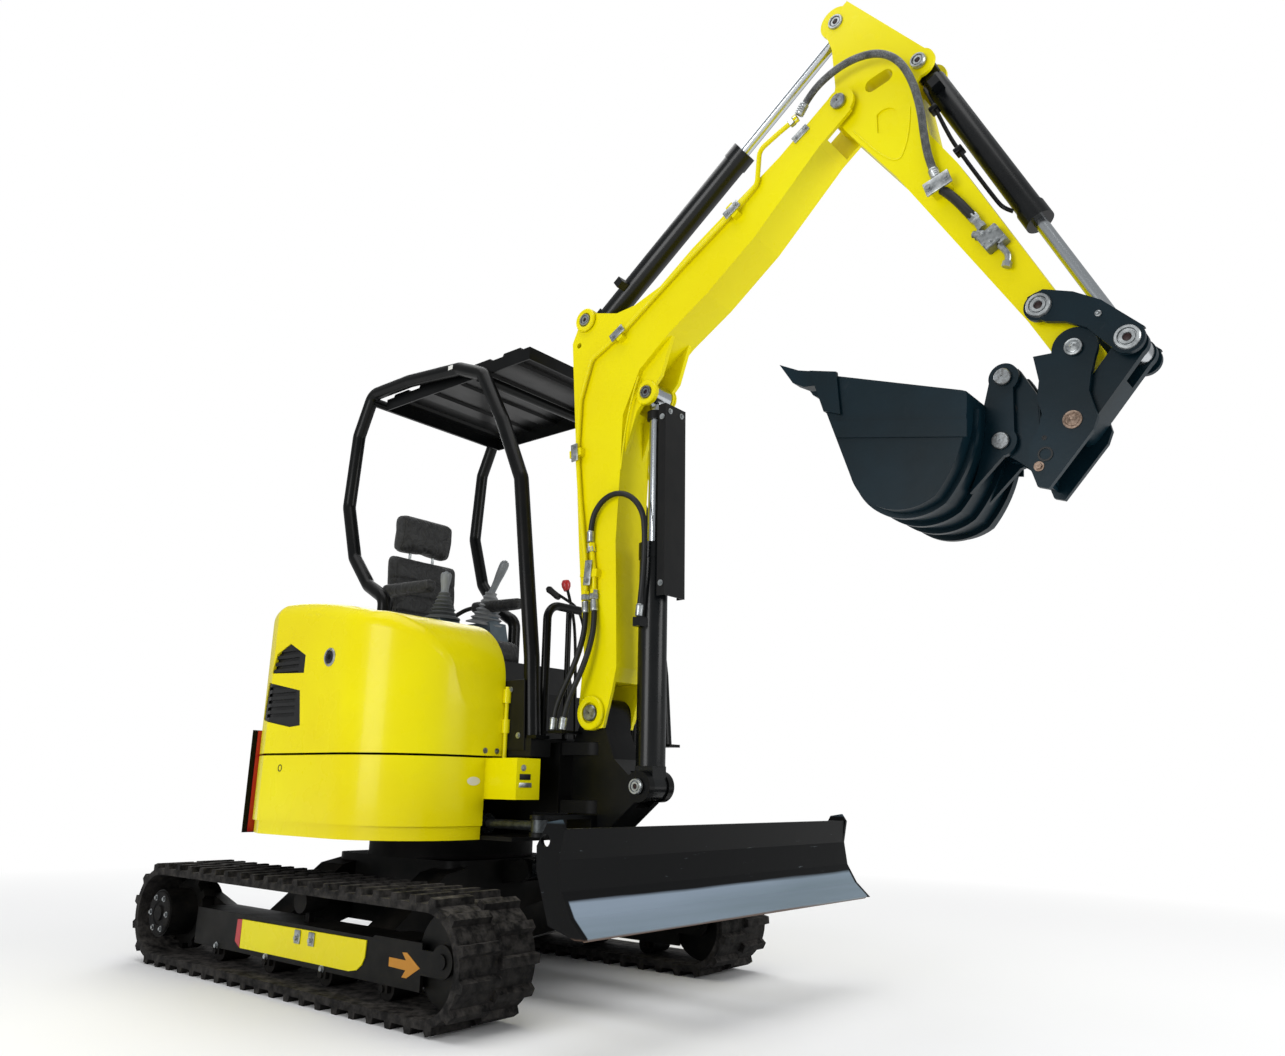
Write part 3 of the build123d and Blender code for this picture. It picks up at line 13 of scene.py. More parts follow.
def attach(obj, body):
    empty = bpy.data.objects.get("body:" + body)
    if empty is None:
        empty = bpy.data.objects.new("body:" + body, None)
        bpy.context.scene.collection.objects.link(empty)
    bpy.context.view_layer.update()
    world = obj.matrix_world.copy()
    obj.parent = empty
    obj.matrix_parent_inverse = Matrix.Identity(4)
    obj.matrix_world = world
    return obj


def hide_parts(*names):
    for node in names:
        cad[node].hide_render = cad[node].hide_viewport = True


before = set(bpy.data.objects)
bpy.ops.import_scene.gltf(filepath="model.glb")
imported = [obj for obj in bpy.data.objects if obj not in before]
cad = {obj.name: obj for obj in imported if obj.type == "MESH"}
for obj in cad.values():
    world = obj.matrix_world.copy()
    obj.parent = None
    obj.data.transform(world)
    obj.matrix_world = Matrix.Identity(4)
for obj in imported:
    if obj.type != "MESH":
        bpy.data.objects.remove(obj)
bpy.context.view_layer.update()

# Camera
# It stands low at the machine's front right corner and looks up along it, as the photographer did. Its place,
# angles and focal length come from fitting the machine's points to the photograph.


def placed(name, data):
    """A new object in the scene."""
    made = bpy.data.objects.new(name, data)
    bpy.context.scene.collection.objects.link(made)
    return made


CAMERA_AT = Vector((3.3075, -2.7971, 0.7056))
CAMERA_YAW, CAMERA_PITCH, CAMERA_ROLL = (math.radians(a) for a in (50.362, 14.705, 0.949))
FOCAL_PIXELS, PHOTO_WIDTH, SENSOR_WIDTH = 986.459, 1285, 36.0
ahead = Vector((-math.cos(CAMERA_YAW) * math.cos(CAMERA_PITCH), math.sin(CAMERA_YAW) * math.cos(CAMERA_PITCH),
                math.sin(CAMERA_PITCH)))
level = ahead.cross(Vector((0, 0, 1))).normalized()
upright = level.cross(ahead)
right = level * math.cos(CAMERA_ROLL) + upright * math.sin(CAMERA_ROLL)
up = upright * math.cos(CAMERA_ROLL) - level * math.sin(CAMERA_ROLL)
camera_data = bpy.data.cameras.new("camera")
camera_data.sensor_width = SENSOR_WIDTH
camera_data.lens = FOCAL_PIXELS * SENSOR_WIDTH / PHOTO_WIDTH
camera = placed("camera", camera_data)
camera.matrix_world = Matrix.Translation(CAMERA_AT) @ Matrix((right, up, -ahead)).transposed().to_4x4()
bpy.context.scene.camera = camera
bpy.context.scene.view_settings.view_transform = "Standard"

# Hydraulic hoses
# Nitrile hose over braided steel wire: one loop to the arm, one to the boom cylinder and two feeds up from
# the swing bracket. A grey spun sleeve guards the loop over the arm's pivot.


def linear(hex_colour):
    """Turns an sRGB hex colour into linear red, green, blue and alpha."""
    parts = [int(hex_colour[i:i + 2], 16) / 255 for i in (1, 3, 5)]
    return [c / 12.92 if c <= 0.04045 else ((c + 0.055) / 1.055) ** 2.4 for c in parts] + [1.0]


def node(tree, kind, values=None, links=None, **settings):
    """Adds a node to the tree with its settings, its inputs' values and its links."""
    made = tree.nodes.new(kind)
    for key, value in settings.items():
        setattr(made, key, value)
    for key, value in (values or {}).items():
        made.inputs[key].default_value = value
    for key, source in (links or {}).items():
        tree.links.new(source, made.inputs[key])
    return made


def start_material(name):
    """An empty node material with its surface shader and object coordinates."""
    material = bpy.data.materials.new(name)
    material.use_nodes = True
    tree = material.node_tree
    return material, tree, tree.nodes["Principled BSDF"], node(tree, "ShaderNodeTexCoord").outputs["Object"]


def ramp(tree, source, low, high):
    """Spreads a value from black to white between two stops."""
    made = node(tree, "ShaderNodeValToRGB", links={"Fac": source})
    made.color_ramp.elements[0].position = low
    made.color_ramp.elements[1].position = high
    return made.outputs["Color"]


def blend_colour(tree, amount, first, second):
    """Mixes two colours, each a hex value or a socket."""
    made = node(tree, "ShaderNodeMix", data_type="RGBA", links={"Factor": amount})
    for slot, colour in ((6, first), (7, second)):
        if isinstance(colour, str):
            made.inputs[slot].default_value = linear(colour)
        else:
            tree.links.new(colour, made.inputs[slot])
    return made.outputs[2]


def noise(tree, place, size, detail=3.0, rough=0.5, swirl=0.0):
    """Soft random patches of about a size in metres, drawn out into swirls where asked."""
    values = {"Scale": 1 / size, "Detail": detail, "Roughness": rough, "Distortion": swirl}
    return node(tree, "ShaderNodeTexNoise", values=values, links={"Vector": place}).outputs["Fac"]


def cells(tree, place, size):
    """The print of a weave or of a leathery grain, of a size in metres."""
    return node(tree, "ShaderNodeTexVoronoi", values={"Scale": 1 / size}, links={"Vector": place}).outputs["Distance"]


def finish_surface(tree, shader, colour, roughness, bump_sources, gloss=0.5):
    """Gives the shader a colour, a roughness and a gloss, and stacks bumps given as (height, strength, metres)."""
    shader.inputs["Specular IOR Level"].default_value = gloss
    tree.links.new(colour, shader.inputs["Base Color"])
    if isinstance(roughness, float):
        shader.inputs["Roughness"].default_value = roughness
    else:
        tree.links.new(roughness, shader.inputs["Roughness"])
    normal = None
    for height, strength, depth in bump_sources:
        made = node(tree, "ShaderNodeBump", values={"Strength": strength, "Distance": depth}, links={"Height": height})
        if normal:
            tree.links.new(normal, made.inputs["Normal"])
        normal = made.outputs["Normal"]
    if normal:
        tree.links.new(normal, shader.inputs["Normal"])


def hose_material(name, colour, shade, weave, depth):
    """Hose skin with the print of its braid, of a size in metres."""
    material, tree, shader, place = start_material(name)
    braid = cells(tree, place, weave)
    shaded = blend_colour(tree, ramp(tree, braid, 0.2, 0.75), shade, colour)
    grime = ramp(tree, noise(tree, place, 0.03, 5.0), 0.45, 0.75)
    finish_surface(tree, shader, blend_colour(tree, grime, shaded, shade), 0.5, [(braid, 0.5, depth)], gloss=0.35)
    return material


# Spun nylon sleeve: a coarse grey weave, dulled by dust. Nitrile cover: smooth black with a faint cloth print.
spun_sleeve = hose_material("spun_nylon_sleeve", "#6D7071", "#232526", 0.0035, 0.0012)
nitrile = hose_material("nitrile_hose_cover", "#17191A", "#0B0C0D", 0.0016, 0.0002)

# Columns: CAD node, diameter, length, skin, route.
HOSES = (
    ("joint_hose", 0.026, 0.950, spun_sleeve,
     ((1.770, -0.098, 3.055), (1.816, -0.104, 3.107), (1.885, -0.112, 3.144), (1.985, -0.119, 3.163),
      (2.090, -0.120, 3.143), (2.165, -0.118, 3.078), (2.208, -0.112, 2.975), (2.226, -0.104, 2.862),
      (2.228, -0.095, 2.760), (2.236, -0.086, 2.668), (2.258, -0.084, 2.593))),
    ("arch_hose", 0.022, 0.795, nitrile,
     ((0.815, -0.098, 1.607), (0.815, -0.101, 1.688), (0.865, -0.108, 1.756), (0.945, -0.112, 1.782),
      (1.025, -0.108, 1.756), (1.075, -0.099, 1.687), (1.077, -0.090, 1.600), (1.071, -0.085, 1.500),
      (1.059, -0.082, 1.400), (1.047, -0.082, 1.302))),
    ("feed_hose_rear", 0.022, 0.500, nitrile,
     ((0.798, -0.098, 1.380), (0.811, -0.107, 1.292), (0.802, -0.122, 1.202), (0.772, -0.134, 1.115),
      (0.734, -0.144, 1.040), (0.706, -0.149, 0.968), (0.700, -0.150, 0.9025))),
    ("feed_hose_front", 0.022, 0.503, nitrile,
     ((0.841, -0.098, 1.383), (0.857, -0.108, 1.297), (0.851, -0.122, 1.207), (0.824, -0.134, 1.119),
      (0.786, -0.144, 1.040), (0.757, -0.149, 0.966), (0.748, -0.150, 0.9025))),
)


def route_curve(name, route, thickness, order=3):
    """A round bar along one open smooth spline whose control points are the route."""
    curve = bpy.data.curves.new(name, "CURVE")
    curve.dimensions = "3D"
    curve.bevel_depth = thickness / 2
    curve.bevel_resolution = 5
    curve.use_fill_caps = True
    spline = curve.splines.new("NURBS")
    spline.points.add(len(route) - 1)
    for point, stop in zip(spline.points, route):
        point.co = (*stop, 1.0)
    spline.order_u = order
    spline.use_endpoint_u = True
    spline.resolution_u = 8
    return curve


def lathe(bm, profile, at, axis, sides):
    """Turns a profile of (radius, height) pairs round an axis that stands at a point."""
    turn = Vector(axis).to_track_quat("Z", "Y").to_matrix()
    rings = []
    for radius, height in profile:
        spots = [(radius * math.cos(2 * math.pi * i / sides), radius * math.sin(2 * math.pi * i / sides), height)
                 for i in range(sides)] if radius else [(0, 0, height)]
        rings.append([bm.verts.new(Vector(at) + turn @ Vector(spot)) for spot in spots])
    for low, high in zip(rings, rings[1:]):
        for i in range(sides):
            j = (i + 1) % sides
            corners = [low[i % len(low)], low[j % len(low)], high[j % len(high)], high[i % len(high)]]
            bm.faces.new(list(dict.fromkeys(corners)))


def piece(name, body, mesh, material, sharp=35):
    """Makes an object of a mesh or bmesh, gives it its finish and lets it ride on a body."""
    if isinstance(mesh, bmesh.types.BMesh):
        bmesh.ops.recalc_face_normals(mesh, faces=mesh.faces)
        data = bpy.data.meshes.new(name)
        mesh.to_mesh(data)
        mesh.free()
        mesh = data
    made = placed(name, mesh)
    if material:
        mesh.materials.clear()
        mesh.materials.append(material)
    mesh.shade_smooth()
    mesh.set_sharp_from_angle(angle=math.radians(sharp))
    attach(made, body)
    return made


def plated(name, colour, shade, roughness, grain=0.02):
    """Metal with a thin bright plating: slow stains and a fine turned grain."""
    material, tree, shader, place = start_material(name)
    stains = noise(tree, place, grain, 5.0, 0.6)
    turned = noise(tree, place, 0.0012, 2.0)
    finish_surface(tree, shader, blend_colour(tree, ramp(tree, stains, 0.35, 0.7), colour, shade), roughness,
                   [(turned, 0.12, 0.0002)])
    shader.inputs["Metallic"].default_value = 0.85
    return material


# Zinc plate on fittings and clamps, and the bare oily steel of pin ends.
zinc = plated("zinc_plate", "#B9BDBE", "#7D8284", 0.34)
pin_steel = plated("oiled_pin_steel", "#9AA0A3", "#5C5A58", 0.3, 0.012)


def lathed(name, body, profile, places, material=zinc, sides=32, sharp=35):
    """One piece of the same turned shape at each (point, direction) place."""
    bm = bmesh.new()
    for spot, direction in places:
        lathe(bm, profile, spot, direction, sides)
    return piece(name, body, bm, material, sharp)


for name, thickness, length, material, route in HOSES:
    hose = placed(name + "_cover", route_curve(name + "_cover", route, thickness))
    hose.data.materials.append(material)
    r = thickness / 2
    grooves = [(r * (1.32 if i % 2 else 1.22), 0.008 + 0.004 * i) for i in range(8)]
    crimp = [(0, 0), (r, 0), (r * 1.3, 0.003)] + grooves + [(r * 1.28, 0.042), (r * 1.04, 0.046), (r * 0.9, 0.044)]
    ends = [(first, Vector(second) - Vector(first)) for first, second in (route[:2], (route[-1], route[-2]))]
    crimps = lathed(name + "_crimps", "boom", crimp, ends, sides=24)
    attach(hose, "boom")
    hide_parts(name)

# Rubber tracks
# Each track is one endless band of black natural rubber moulded over steel cords, with staggered lugs.
# Running dries it to a dusty grey-black, palest where dust lies on what faces up.


def arithmetic(tree, operation, *terms):
    """One step of arithmetic on terms that are numbers or sockets."""
    made = node(tree, "ShaderNodeMath", operation=operation)
    for slot, term in enumerate(terms):
        if isinstance(term, float):
            made.inputs[slot].default_value = term
        else:
            tree.links.new(term, made.inputs[slot])
    return made.outputs[0]


def remap(tree, source, low=0.0, high=1.0, start=0.0, end=1.0):
    """Carries a value from one range over to another, and holds it at the ends."""
    values = {"From Min": low, "From Max": high, "To Min": start, "To Max": end}
    return node(tree, "ShaderNodeMapRange", values=values, links={"Value": source}).outputs["Result"]


def dust_amount(tree, place, strength, grain, top=None):
    """How much dust lies on a surface: more on what faces up, in patches, and near the ground."""
    normal = node(tree, "ShaderNodeNewGeometry").outputs["Normal"]
    facing = node(tree, "ShaderNodeSeparateXYZ", links={"Vector": normal}).outputs["Z"]
    patches = ramp(tree, noise(tree, place, grain, 6.0, 0.62), 0.38, 0.72)
    lying = arithmetic(tree, "MULTIPLY", remap(tree, facing, -0.2, 1.0, 0.25, 1.0), patches)
    amount = arithmetic(tree, "MULTIPLY", lying, strength)
    if top is None:
        return amount
    height = node(tree, "ShaderNodeSeparateXYZ", links={"Vector": place}).outputs["Z"]
    return arithmetic(tree, "MULTIPLY", amount, remap(tree, height, 0.0, top, 1.0, 0.0))


def dress(names, material):
    """Gives CAD nodes a material."""
    for name in names.split():
        cad[name].data.materials.clear()
        cad[name].data.materials.append(material)


# Vulcanised rubber: dull and grey with dust in its pores, which scatter a soft wide gloss.
track_rubber, tree, shader, place = start_material("vulcanised_track_rubber")
grit = noise(tree, place, 0.004, 4.0)
blotches = noise(tree, place, 0.05, 8.0, 0.7)
dry = blend_colour(tree, ramp(tree, blotches, 0.35, 0.7), "#0B0B0B", "#1B1A1A")
dusty = blend_colour(tree, dust_amount(tree, place, 0.70, 0.03), dry, "#66625E")
finish_surface(tree, shader, dusty, 0.8, [(grit, 0.6, 0.0014), (blotches, 0.5, 0.005)], gloss=0.12)
dress("track_left track_right", track_rubber)

# Undercarriage
# Welded steel frames, cast rollers and idlers, sprayed satin black and dusty. Each track frame carries a
# bolted yellow guard plate with a red end, and an orange arrow that points to the machine's front.


def enamel(name, colour, shade, roughness, coat=0.0, peel=0.15, dust=0.0, dust_colour="#6A635A", dust_top=None,
           gloss=0.5):
    """Sprayed machine enamel: an orange-peel skin of about 3 mm waves, slow changes of tone, and dust."""
    material, tree, shader, place = start_material(name)
    base = blend_colour(tree, ramp(tree, noise(tree, place, 0.6), 0.3, 0.75), colour, shade)
    if dust:
        base = blend_colour(tree, dust_amount(tree, place, dust, 0.12, dust_top), base, dust_colour)
    rough = remap(tree, noise(tree, place, 0.09, 5.0), start=roughness * 0.8, end=roughness * 1.35)
    finish_surface(tree, shader, base, rough, [(noise(tree, place, 0.003, 2.0), peel, 0.0004)], gloss)
    shader.inputs["Coat Weight"].default_value = coat
    shader.inputs["Coat Roughness"].default_value = 0.08
    return material


def prism(bm, outline, near, far):
    """A solid with an outline of (x, z) points between two places along Y. Gives back its far face."""
    low, high = ([bm.verts.new((x, y, z)) for x, z in outline] for y in (near, far))
    bm.faces.new(low)
    far_face = bm.faces.new(high[::-1])
    for i in range(len(low)):
        bm.faces.new((low[i - 1], low[i], high[i], high[i - 1]))
    return far_face


def plate(bm, outline, near, far, bevel):
    """A cut plate between two places along Y, with its far rim bevelled."""
    rim = list(prism(bm, outline, near, far).edges)
    bmesh.ops.bevel(bm, geom=rim, offset=bevel, segments=1, affect="EDGES")


def block(bm, centre, size, turn=0.0, bevel=0.0015, segments=2):
    """A box with rounded edges, turned about Y so that its X leans towards Z."""
    place = Matrix.Translation(centre) @ Matrix.Rotation(math.radians(-turn), 4, "Y") @ Matrix.Diagonal((*size, 1))
    made = bmesh.ops.create_cube(bm, size=1.0, matrix=place)
    if bevel:
        edges = list({edge for vert in made["verts"] for edge in vert.link_edges})
        bmesh.ops.bevel(bm, geom=edges, offset=bevel, segments=segments, affect="EDGES", profile=0.5)


def slabs(name, body, centres, size, material=zinc, turn=0.0, bevel=0.0015):
    """One piece of the same box at each centre."""
    bm = bmesh.new()
    for centre in centres:
        block(bm, centre, size, turn, bevel)
    return piece(name, body, bm, material)


def solved(holder):
    """The plain mesh that an object's modifiers make. They are then taken off."""
    bpy.context.view_layer.update()
    made = bpy.data.meshes.new_from_object(holder.evaluated_get(bpy.context.evaluated_depsgraph_get()))
    holder.modifiers.clear()
    return made


def run_nodes(carrier, group, values):
    """Runs a geometry node group on a mesh and gives back the plain mesh that it makes."""
    holder = placed(carrier.name, carrier)
    modifier = holder.modifiers.new(group.name, "NODES")
    modifier.node_group = group
    names = {item.name: item.identifier for item in group.interface.items_tree if item.in_out == "INPUT"}
    for label, value in values.items():
        modifier[names[label]] = value
    made = solved(holder)
    bpy.data.objects.remove(holder)
    return made


def start_group(name, **kinds):
    """An empty geometry node group with inputs of the kinds given, and its two end nodes."""
    group = bpy.data.node_groups.new(name, "GeometryNodeTree")
    for label, kind in kinds.items():
        group.interface.new_socket(label, in_out="INPUT", socket_type="NodeSocket" + kind)
    group.interface.new_socket("Geometry", in_out="OUTPUT", socket_type="NodeSocketGeometry")
    return group, group.nodes.new("NodeGroupInput"), group.nodes.new("NodeGroupOutput")


def end_group(group, copies, given, result):
    """Makes a group's copies real, gives them the input Finish and hands them out."""
    solid = node(group, "GeometryNodeRealizeInstances", links={"Geometry": copies.outputs["Instances"]})
    painted = node(group, "GeometryNodeSetMaterial",
                   links={"Geometry": solid.outputs["Geometry"], "Material": given.outputs["Finish"]})
    group.links.new(painted.outputs["Geometry"], result.inputs["Geometry"])


# A hex bolt is a washer, a head and a low round boss, in units of half the head's width. One stands on each point
# and faces the way that point says.
hex_bolt, given, result = start_group("hex_bolt", Geometry="Geometry", Size="Float", Finish="Material")
joined = hex_bolt.nodes.new("GeometryNodeJoinGeometry")
for radius, thickness, low, corners in ((1.5, 0.28, 0.0, 24), (1.0, 0.7, 0.28, 6), (0.8, 0.1, 0.98, 18)):
    disc = node(hex_bolt, "GeometryNodeMeshCylinder",
                values={"Vertices": corners, "Radius": radius, "Depth": thickness})
    lifted = node(hex_bolt, "GeometryNodeTransform", values={"Translation": (0, 0, low + thickness / 2)},
                  links={"Geometry": disc.outputs["Mesh"]})
    hex_bolt.links.new(lifted.outputs["Geometry"], joined.inputs["Geometry"])
facing = node(hex_bolt, "GeometryNodeInputNamedAttribute", data_type="FLOAT_VECTOR", values={"Name": "facing"})
aimed = node(hex_bolt, "FunctionNodeAlignRotationToVector", axis="Z", links={"Vector": facing.outputs["Attribute"]})
copies = node(hex_bolt, "GeometryNodeInstanceOnPoints",
              links={"Points": given.outputs["Geometry"], "Instance": joined.outputs["Geometry"],
                     "Rotation": aimed.outputs["Rotation"], "Scale": given.outputs["Size"]})
end_group(hex_bolt, copies, given, result)


# Half the width of a bolt's head.
SMALL_HEAD, LARGE_HEAD = 0.0075, 0.0085


def bolts(name, body, places, size=SMALL_HEAD, material=zinc):
    """Sets a hex bolt at each (point, direction) place, as one mesh."""
    mesh = bpy.data.meshes.new(name)
    mesh.from_pydata([spot for spot, direction in places], [], [])
    facing = mesh.attributes.new("facing", "FLOAT_VECTOR", "POINT")
    for item, (spot, direction) in zip(facing.data, places):
        item.vector = direction
    return piece(name, body, run_nodes(mesh, hex_bolt, {"Size": size, "Finish": material}), None, sharp=25)


# Satin black frame enamel is a dull, even black that dust greys from above; on iron castings it is rougher and
# pebbled. Lemon-yellow enamel has a smooth skin with a sharp gloss, signal red a softer one, and sign film none.
frame_enamel = enamel("satin_black_frame_enamel", "#050606", "#0A0B0B", 0.42, dust=0.22, dust_top=0.9, gloss=0.12)
cast_iron = enamel("painted_iron_casting", "#060607", "#0C0C0C", 0.6, peel=0.6, dust=0.25, dust_top=0.9, gloss=0.12)
lemon = enamel("lemon_yellow_enamel", "#E6DC00", "#DCCB00", 0.26, coat=0.10, dust=0.04, dust_colour="#A8995C",
               gloss=0.15)
signal_red = enamel("signal_red_enamel", "#B4121A", "#9C1017", 0.35, coat=0.2)
arrow_orange = enamel("orange_sign_film", "#C4861C", "#B27715", 0.5, peel=0.02)
dress("car_body track_frame_left track_frame_right final_drives idlers blade_arms house_frame", frame_enamel)
dress("rollers slew_ring engine", cast_iron)

# Outlines of (x, z) points on the right track frame's outer face, mirrored to the left one.
FRAME_FACE_Y = 0.718
GUARD_OUTLINE = ((-0.300, 0.110), (0.380, 0.112), (0.420, 0.119), (0.446, 0.137), (0.460, 0.163), (0.463, 0.214),
                 (-0.300, 0.209))
RED_OUTLINE = ((-0.337, 0.130), (-0.304, 0.112), (-0.301, 0.209), (-0.333, 0.207))
ARROW_OUTLINE = ((0.583, 0.150), (0.668, 0.148), (0.650, 0.126), (0.674, 0.126), (0.736, 0.161), (0.670, 0.199),
                 (0.647, 0.197), (0.668, 0.176), (0.583, 0.177))
for name, outline, thickness, material, slot in (
        ("guard_plates", GUARD_OUTLINE, 0.004, lemon, "yellow_paint"),
        ("guard_red_ends", RED_OUTLINE, 0.004, signal_red, "frame_paint"),
        ("travel_arrows", ARROW_OUTLINE, 0.001, arrow_orange, "yellow_paint")):
    bm = bmesh.new()
    for side in (-1, 1):
        plate(bm, outline, side * (FRAME_FACE_Y - 0.002), side * (FRAME_FACE_Y + thickness), thickness / 5)
    piece(name, "undercarriage", bm, material)
slabs("guard_clips", "undercarriage", [(x, side * 0.7245, 0.186) for side in (-1, 1) for x in (0.072, 0.158)],
      (0.034, 0.005, 0.044))
bolts("guard_bolts", "undercarriage",
      [((x, side * y, z), (0, side, 0)) for side in (-1, 1) for x, y, z in
       [(0.072, 0.727, 0.182), (0.158, 0.727, 0.182)] + [(x, FRAME_FACE_Y, 0.101) for x in (-0.470, -0.122, 0.226)]],
      LARGE_HEAD)
HUB_X, HUB_Y, HUB_Z, HUB_BOLT_CIRCLE = -0.825, 0.775, 0.190, 0.064
lathed("hub_covers", "undercarriage",
       [(0.084, -0.004), (0.084, 0.003), (0.080, 0.007), (0.046, 0.008), (0.042, 0.004), (0.030, 0.004), (0.028, 0.012),
        (0, 0.013)], [((HUB_X, side * HUB_Y, HUB_Z), (0, side, 0)) for side in (-1, 1)], cast_iron, 48)
bolts("hub_bolts", "undercarriage",
      [((HUB_X + HUB_BOLT_CIRCLE * math.cos(angle), side * (HUB_Y + 0.007), HUB_Z + HUB_BOLT_CIRCLE * math.sin(angle)),
        (0, side, 0)) for angle in (math.radians(60 * i) for i in range(6)) for side in (-1, 1)],
      SMALL_HEAD, pin_steel)

# Blade
# Rolled steel plate with a capped top edge, enamelled black, scoured blue-grey by soil, and worn to bare rusty
# metal at its cutting edge.

# A pair says where one surface gives way to the next: in height, or out from the middle for the scoured band.
EDGE_TOP, SCOUR_TOP, SCOUR_SIDE, CAP_BOTTOM = (0.315, 0.321), (0.402, 0.412), (0.772, 0.777), (0.604, 0.610)
blade_enamel, tree, shader, place = start_material("scoured_blade_enamel")
streaks = node(tree, "ShaderNodeMapping", values={"Scale": (1.0, 0.05, 1.0)}, links={"Vector": place}).outputs["Vector"]
scratches = noise(tree, streaks, 0.010, 7.0, 0.75)
where = node(tree, "ShaderNodeSeparateXYZ", links={"Vector": place})
ragged = arithmetic(tree, "MULTIPLY_ADD", noise(tree, streaks, 0.05, 4.0), 0.024, -0.012)
height = arithmetic(tree, "ADD", where.outputs["Z"], ragged)
across = arithmetic(tree, "ABSOLUTE", where.outputs["Y"])
scour = arithmetic(tree, "MULTIPLY", remap(tree, height, *SCOUR_TOP, 1.0, 0.0),
                   remap(tree, across, *SCOUR_SIDE, 1.0, 0.0))
dragged = blend_colour(tree, ramp(tree, noise(tree, streaks, 0.12, 5.0), 0.35, 0.65), "#6A7982", "#8391A0")
worn = blend_colour(tree, scour, "#040506", dragged)
capped = blend_colour(tree, remap(tree, where.outputs["Z"], *CAP_BOTTOM), worn, "#36424A")
scored = blend_colour(tree, ramp(tree, scratches, 0.66, 0.72), capped, "#7C868C")
rusty = blend_colour(tree, remap(tree, height, *EDGE_TOP, 1.0, 0.0), scored, "#5E4B40")
finish_surface(tree, shader, rusty, 0.4, [(scratches, 0.2, 0.0006), (noise(tree, place, 0.2), 0.3, 0.004)], gloss=0.10)
dress("blade", blade_enamel)

# Bodywork
# Pressed steel covers in glossy lemon-yellow enamel over a black iron counterweight. The hood swings on hinges at
# its front edge and shuts on a keyed lock; the lower panels are bolted on. Red strips mark the counterweight's front.

# Gloss black enamel draws a sharp highlight on dark tubes, and satin black on panels a wider, paler one.
black_enamel = enamel("gloss_black_enamel", "#040506", "#080A0B", 0.3, coat=0.05, dust=0.05, gloss=0.14)
panel_enamel = enamel("satin_black_panel_enamel", "#08090A", "#0D0F10", 0.42, dust=0.08, gloss=0.2)
dress("hood lower_panels", lemon)
dress("counterweight", cast_iron)
dress("rear_cover", panel_enamel)

# Rays start this far out from the middle, clear of every part.
OUTSIDE = 1.2


def touch(names, start, heading):
    """Where a ray first meets any of the named CAD nodes, and the way that surface faces."""
    hits = []
    for name in names.split():
        mesh = cad[name].data
        tree = BVHTree.FromPolygons([v.co for v in mesh.vertices], [list(p.vertices) for p in mesh.polygons])
        spot, normal, index, far = tree.ray_cast(Vector(start), Vector(heading))
        if spot:
            hits.append((far, spot, normal if normal.dot(Vector(heading)) < 0 else -normal))
    return min(hits, key=lambda hit: hit[0])[1:]


def moulded(name, colour, shade, roughness):
    """Injection-moulded plastic with a fine leathery grain."""
    material, tree, shader, place = start_material(name)
    base = blend_colour(tree, ramp(tree, noise(tree, place, 0.05, 4.0), 0.3, 0.8), colour, shade)
    dusted = blend_colour(tree, dust_amount(tree, place, 0.08, 0.08), base, "#5A5752")
    finish_surface(tree, shader, dusted, roughness, [(cells(tree, place, 0.0016), 0.25, 0.0004)], gloss=0.3)
    return material


# Moulded polypropylene: black, with its sheen broken up by a fine grain.
black_plastic = moulded("black_polypropylene", "#08090A", "#0E0F10", 0.5)
dress("hood_vents", black_plastic)

# A dark wire cloth behind the louvres, bent to the hood's wall.
HOOD_RADIUS, HOOD_SIDE, CLOTH_INSET = 0.780, 0.740, 0.0150
bm = bmesh.new()
rows = []
for i in range(17):
    x = -0.375 + 0.023 * i
    y = CLOTH_INSET - min(HOOD_SIDE, math.sqrt(HOOD_RADIUS ** 2 - x ** 2))
    rows.append([bm.verts.new((x, y, z)) for z in (0.880, 1.235)])
for (a, b), (c, d) in zip(rows, rows[1:]):
    bm.faces.new((a, c, d, b))
cloth_back = bmesh.ops.extrude_face_region(bm, geom=bm.faces[:])
bmesh.ops.translate(bm, verts=[v for v in cloth_back["geom"] if isinstance(v, bmesh.types.BMVert)], vec=(0, 0.002, 0))
piece("vent_wire_cloth", "hood", bm, black_plastic)

lock_at, lock_out = touch("hood", (0.131, -OUTSIDE, 1.146), (0, 1, 0))
lathed("lock_ring", "hood", [(0.034, -0.004), (0.034, 0.002), (0.031, 0.005), (0.026, 0.005), (0.024, -0.002),
       (0, -0.002)], [(lock_at, lock_out)], sides=40)
bm = bmesh.new()
lathe(bm, [(0.0235, -0.002), (0.0235, 0.0025), (0.019, 0.004), (0.010, 0.004), (0.009, 0.001), (0, 0.001)],
      lock_at, lock_out, 40)
block(bm, lock_at + lock_out * 0.002, (0.003, 0.004, 0.014), bevel=0.0)
piece("lock_barrel", "hood", bm, black_plastic)
lathed("panel_plug", "house", [(0.013, -0.003), (0.013, 0.0012), (0.010, 0.0012), (0.008, -0.002), (0, -0.002)],
       [touch("lower_panels", (-0.125, -OUTSIDE, 0.752), (0, 1, 0))], black_plastic, 24)
bolts("hood_corner_bolts", "hood", [touch("hood", (OUTSIDE, y, 0.824), (-1, 0, 0)) for y in (-0.325, -0.268)], 0.007,
      pin_steel)
label_at, label_out = touch("lower_panels", (OUTSIDE, -0.372, 0.716), (-1, 0, 0))
bm = bmesh.new()
lathe(bm, [(0.030, 0.0), (0.030, 0.0008), (0, 0.0008)], (0, 0, 0), label_out, 40)
bmesh.ops.scale(bm, vec=(1, 1, 0.5), verts=bm.verts[:])
bmesh.ops.translate(bm, vec=label_at, verts=bm.verts[:])
# Label film: flat, even white.
white_film = enamel("white_label_film", "#D8D8D4", "#CFCFCA", 0.5)
piece("blank_oval_label", "house", bm, white_film)
slabs("red_edge_markers", "house", [(-0.4335, side * 0.6450, 0.7050) for side in (-1, 1)], (0.003, 0.044, 0.386),
      signal_red, bevel=0.0008)

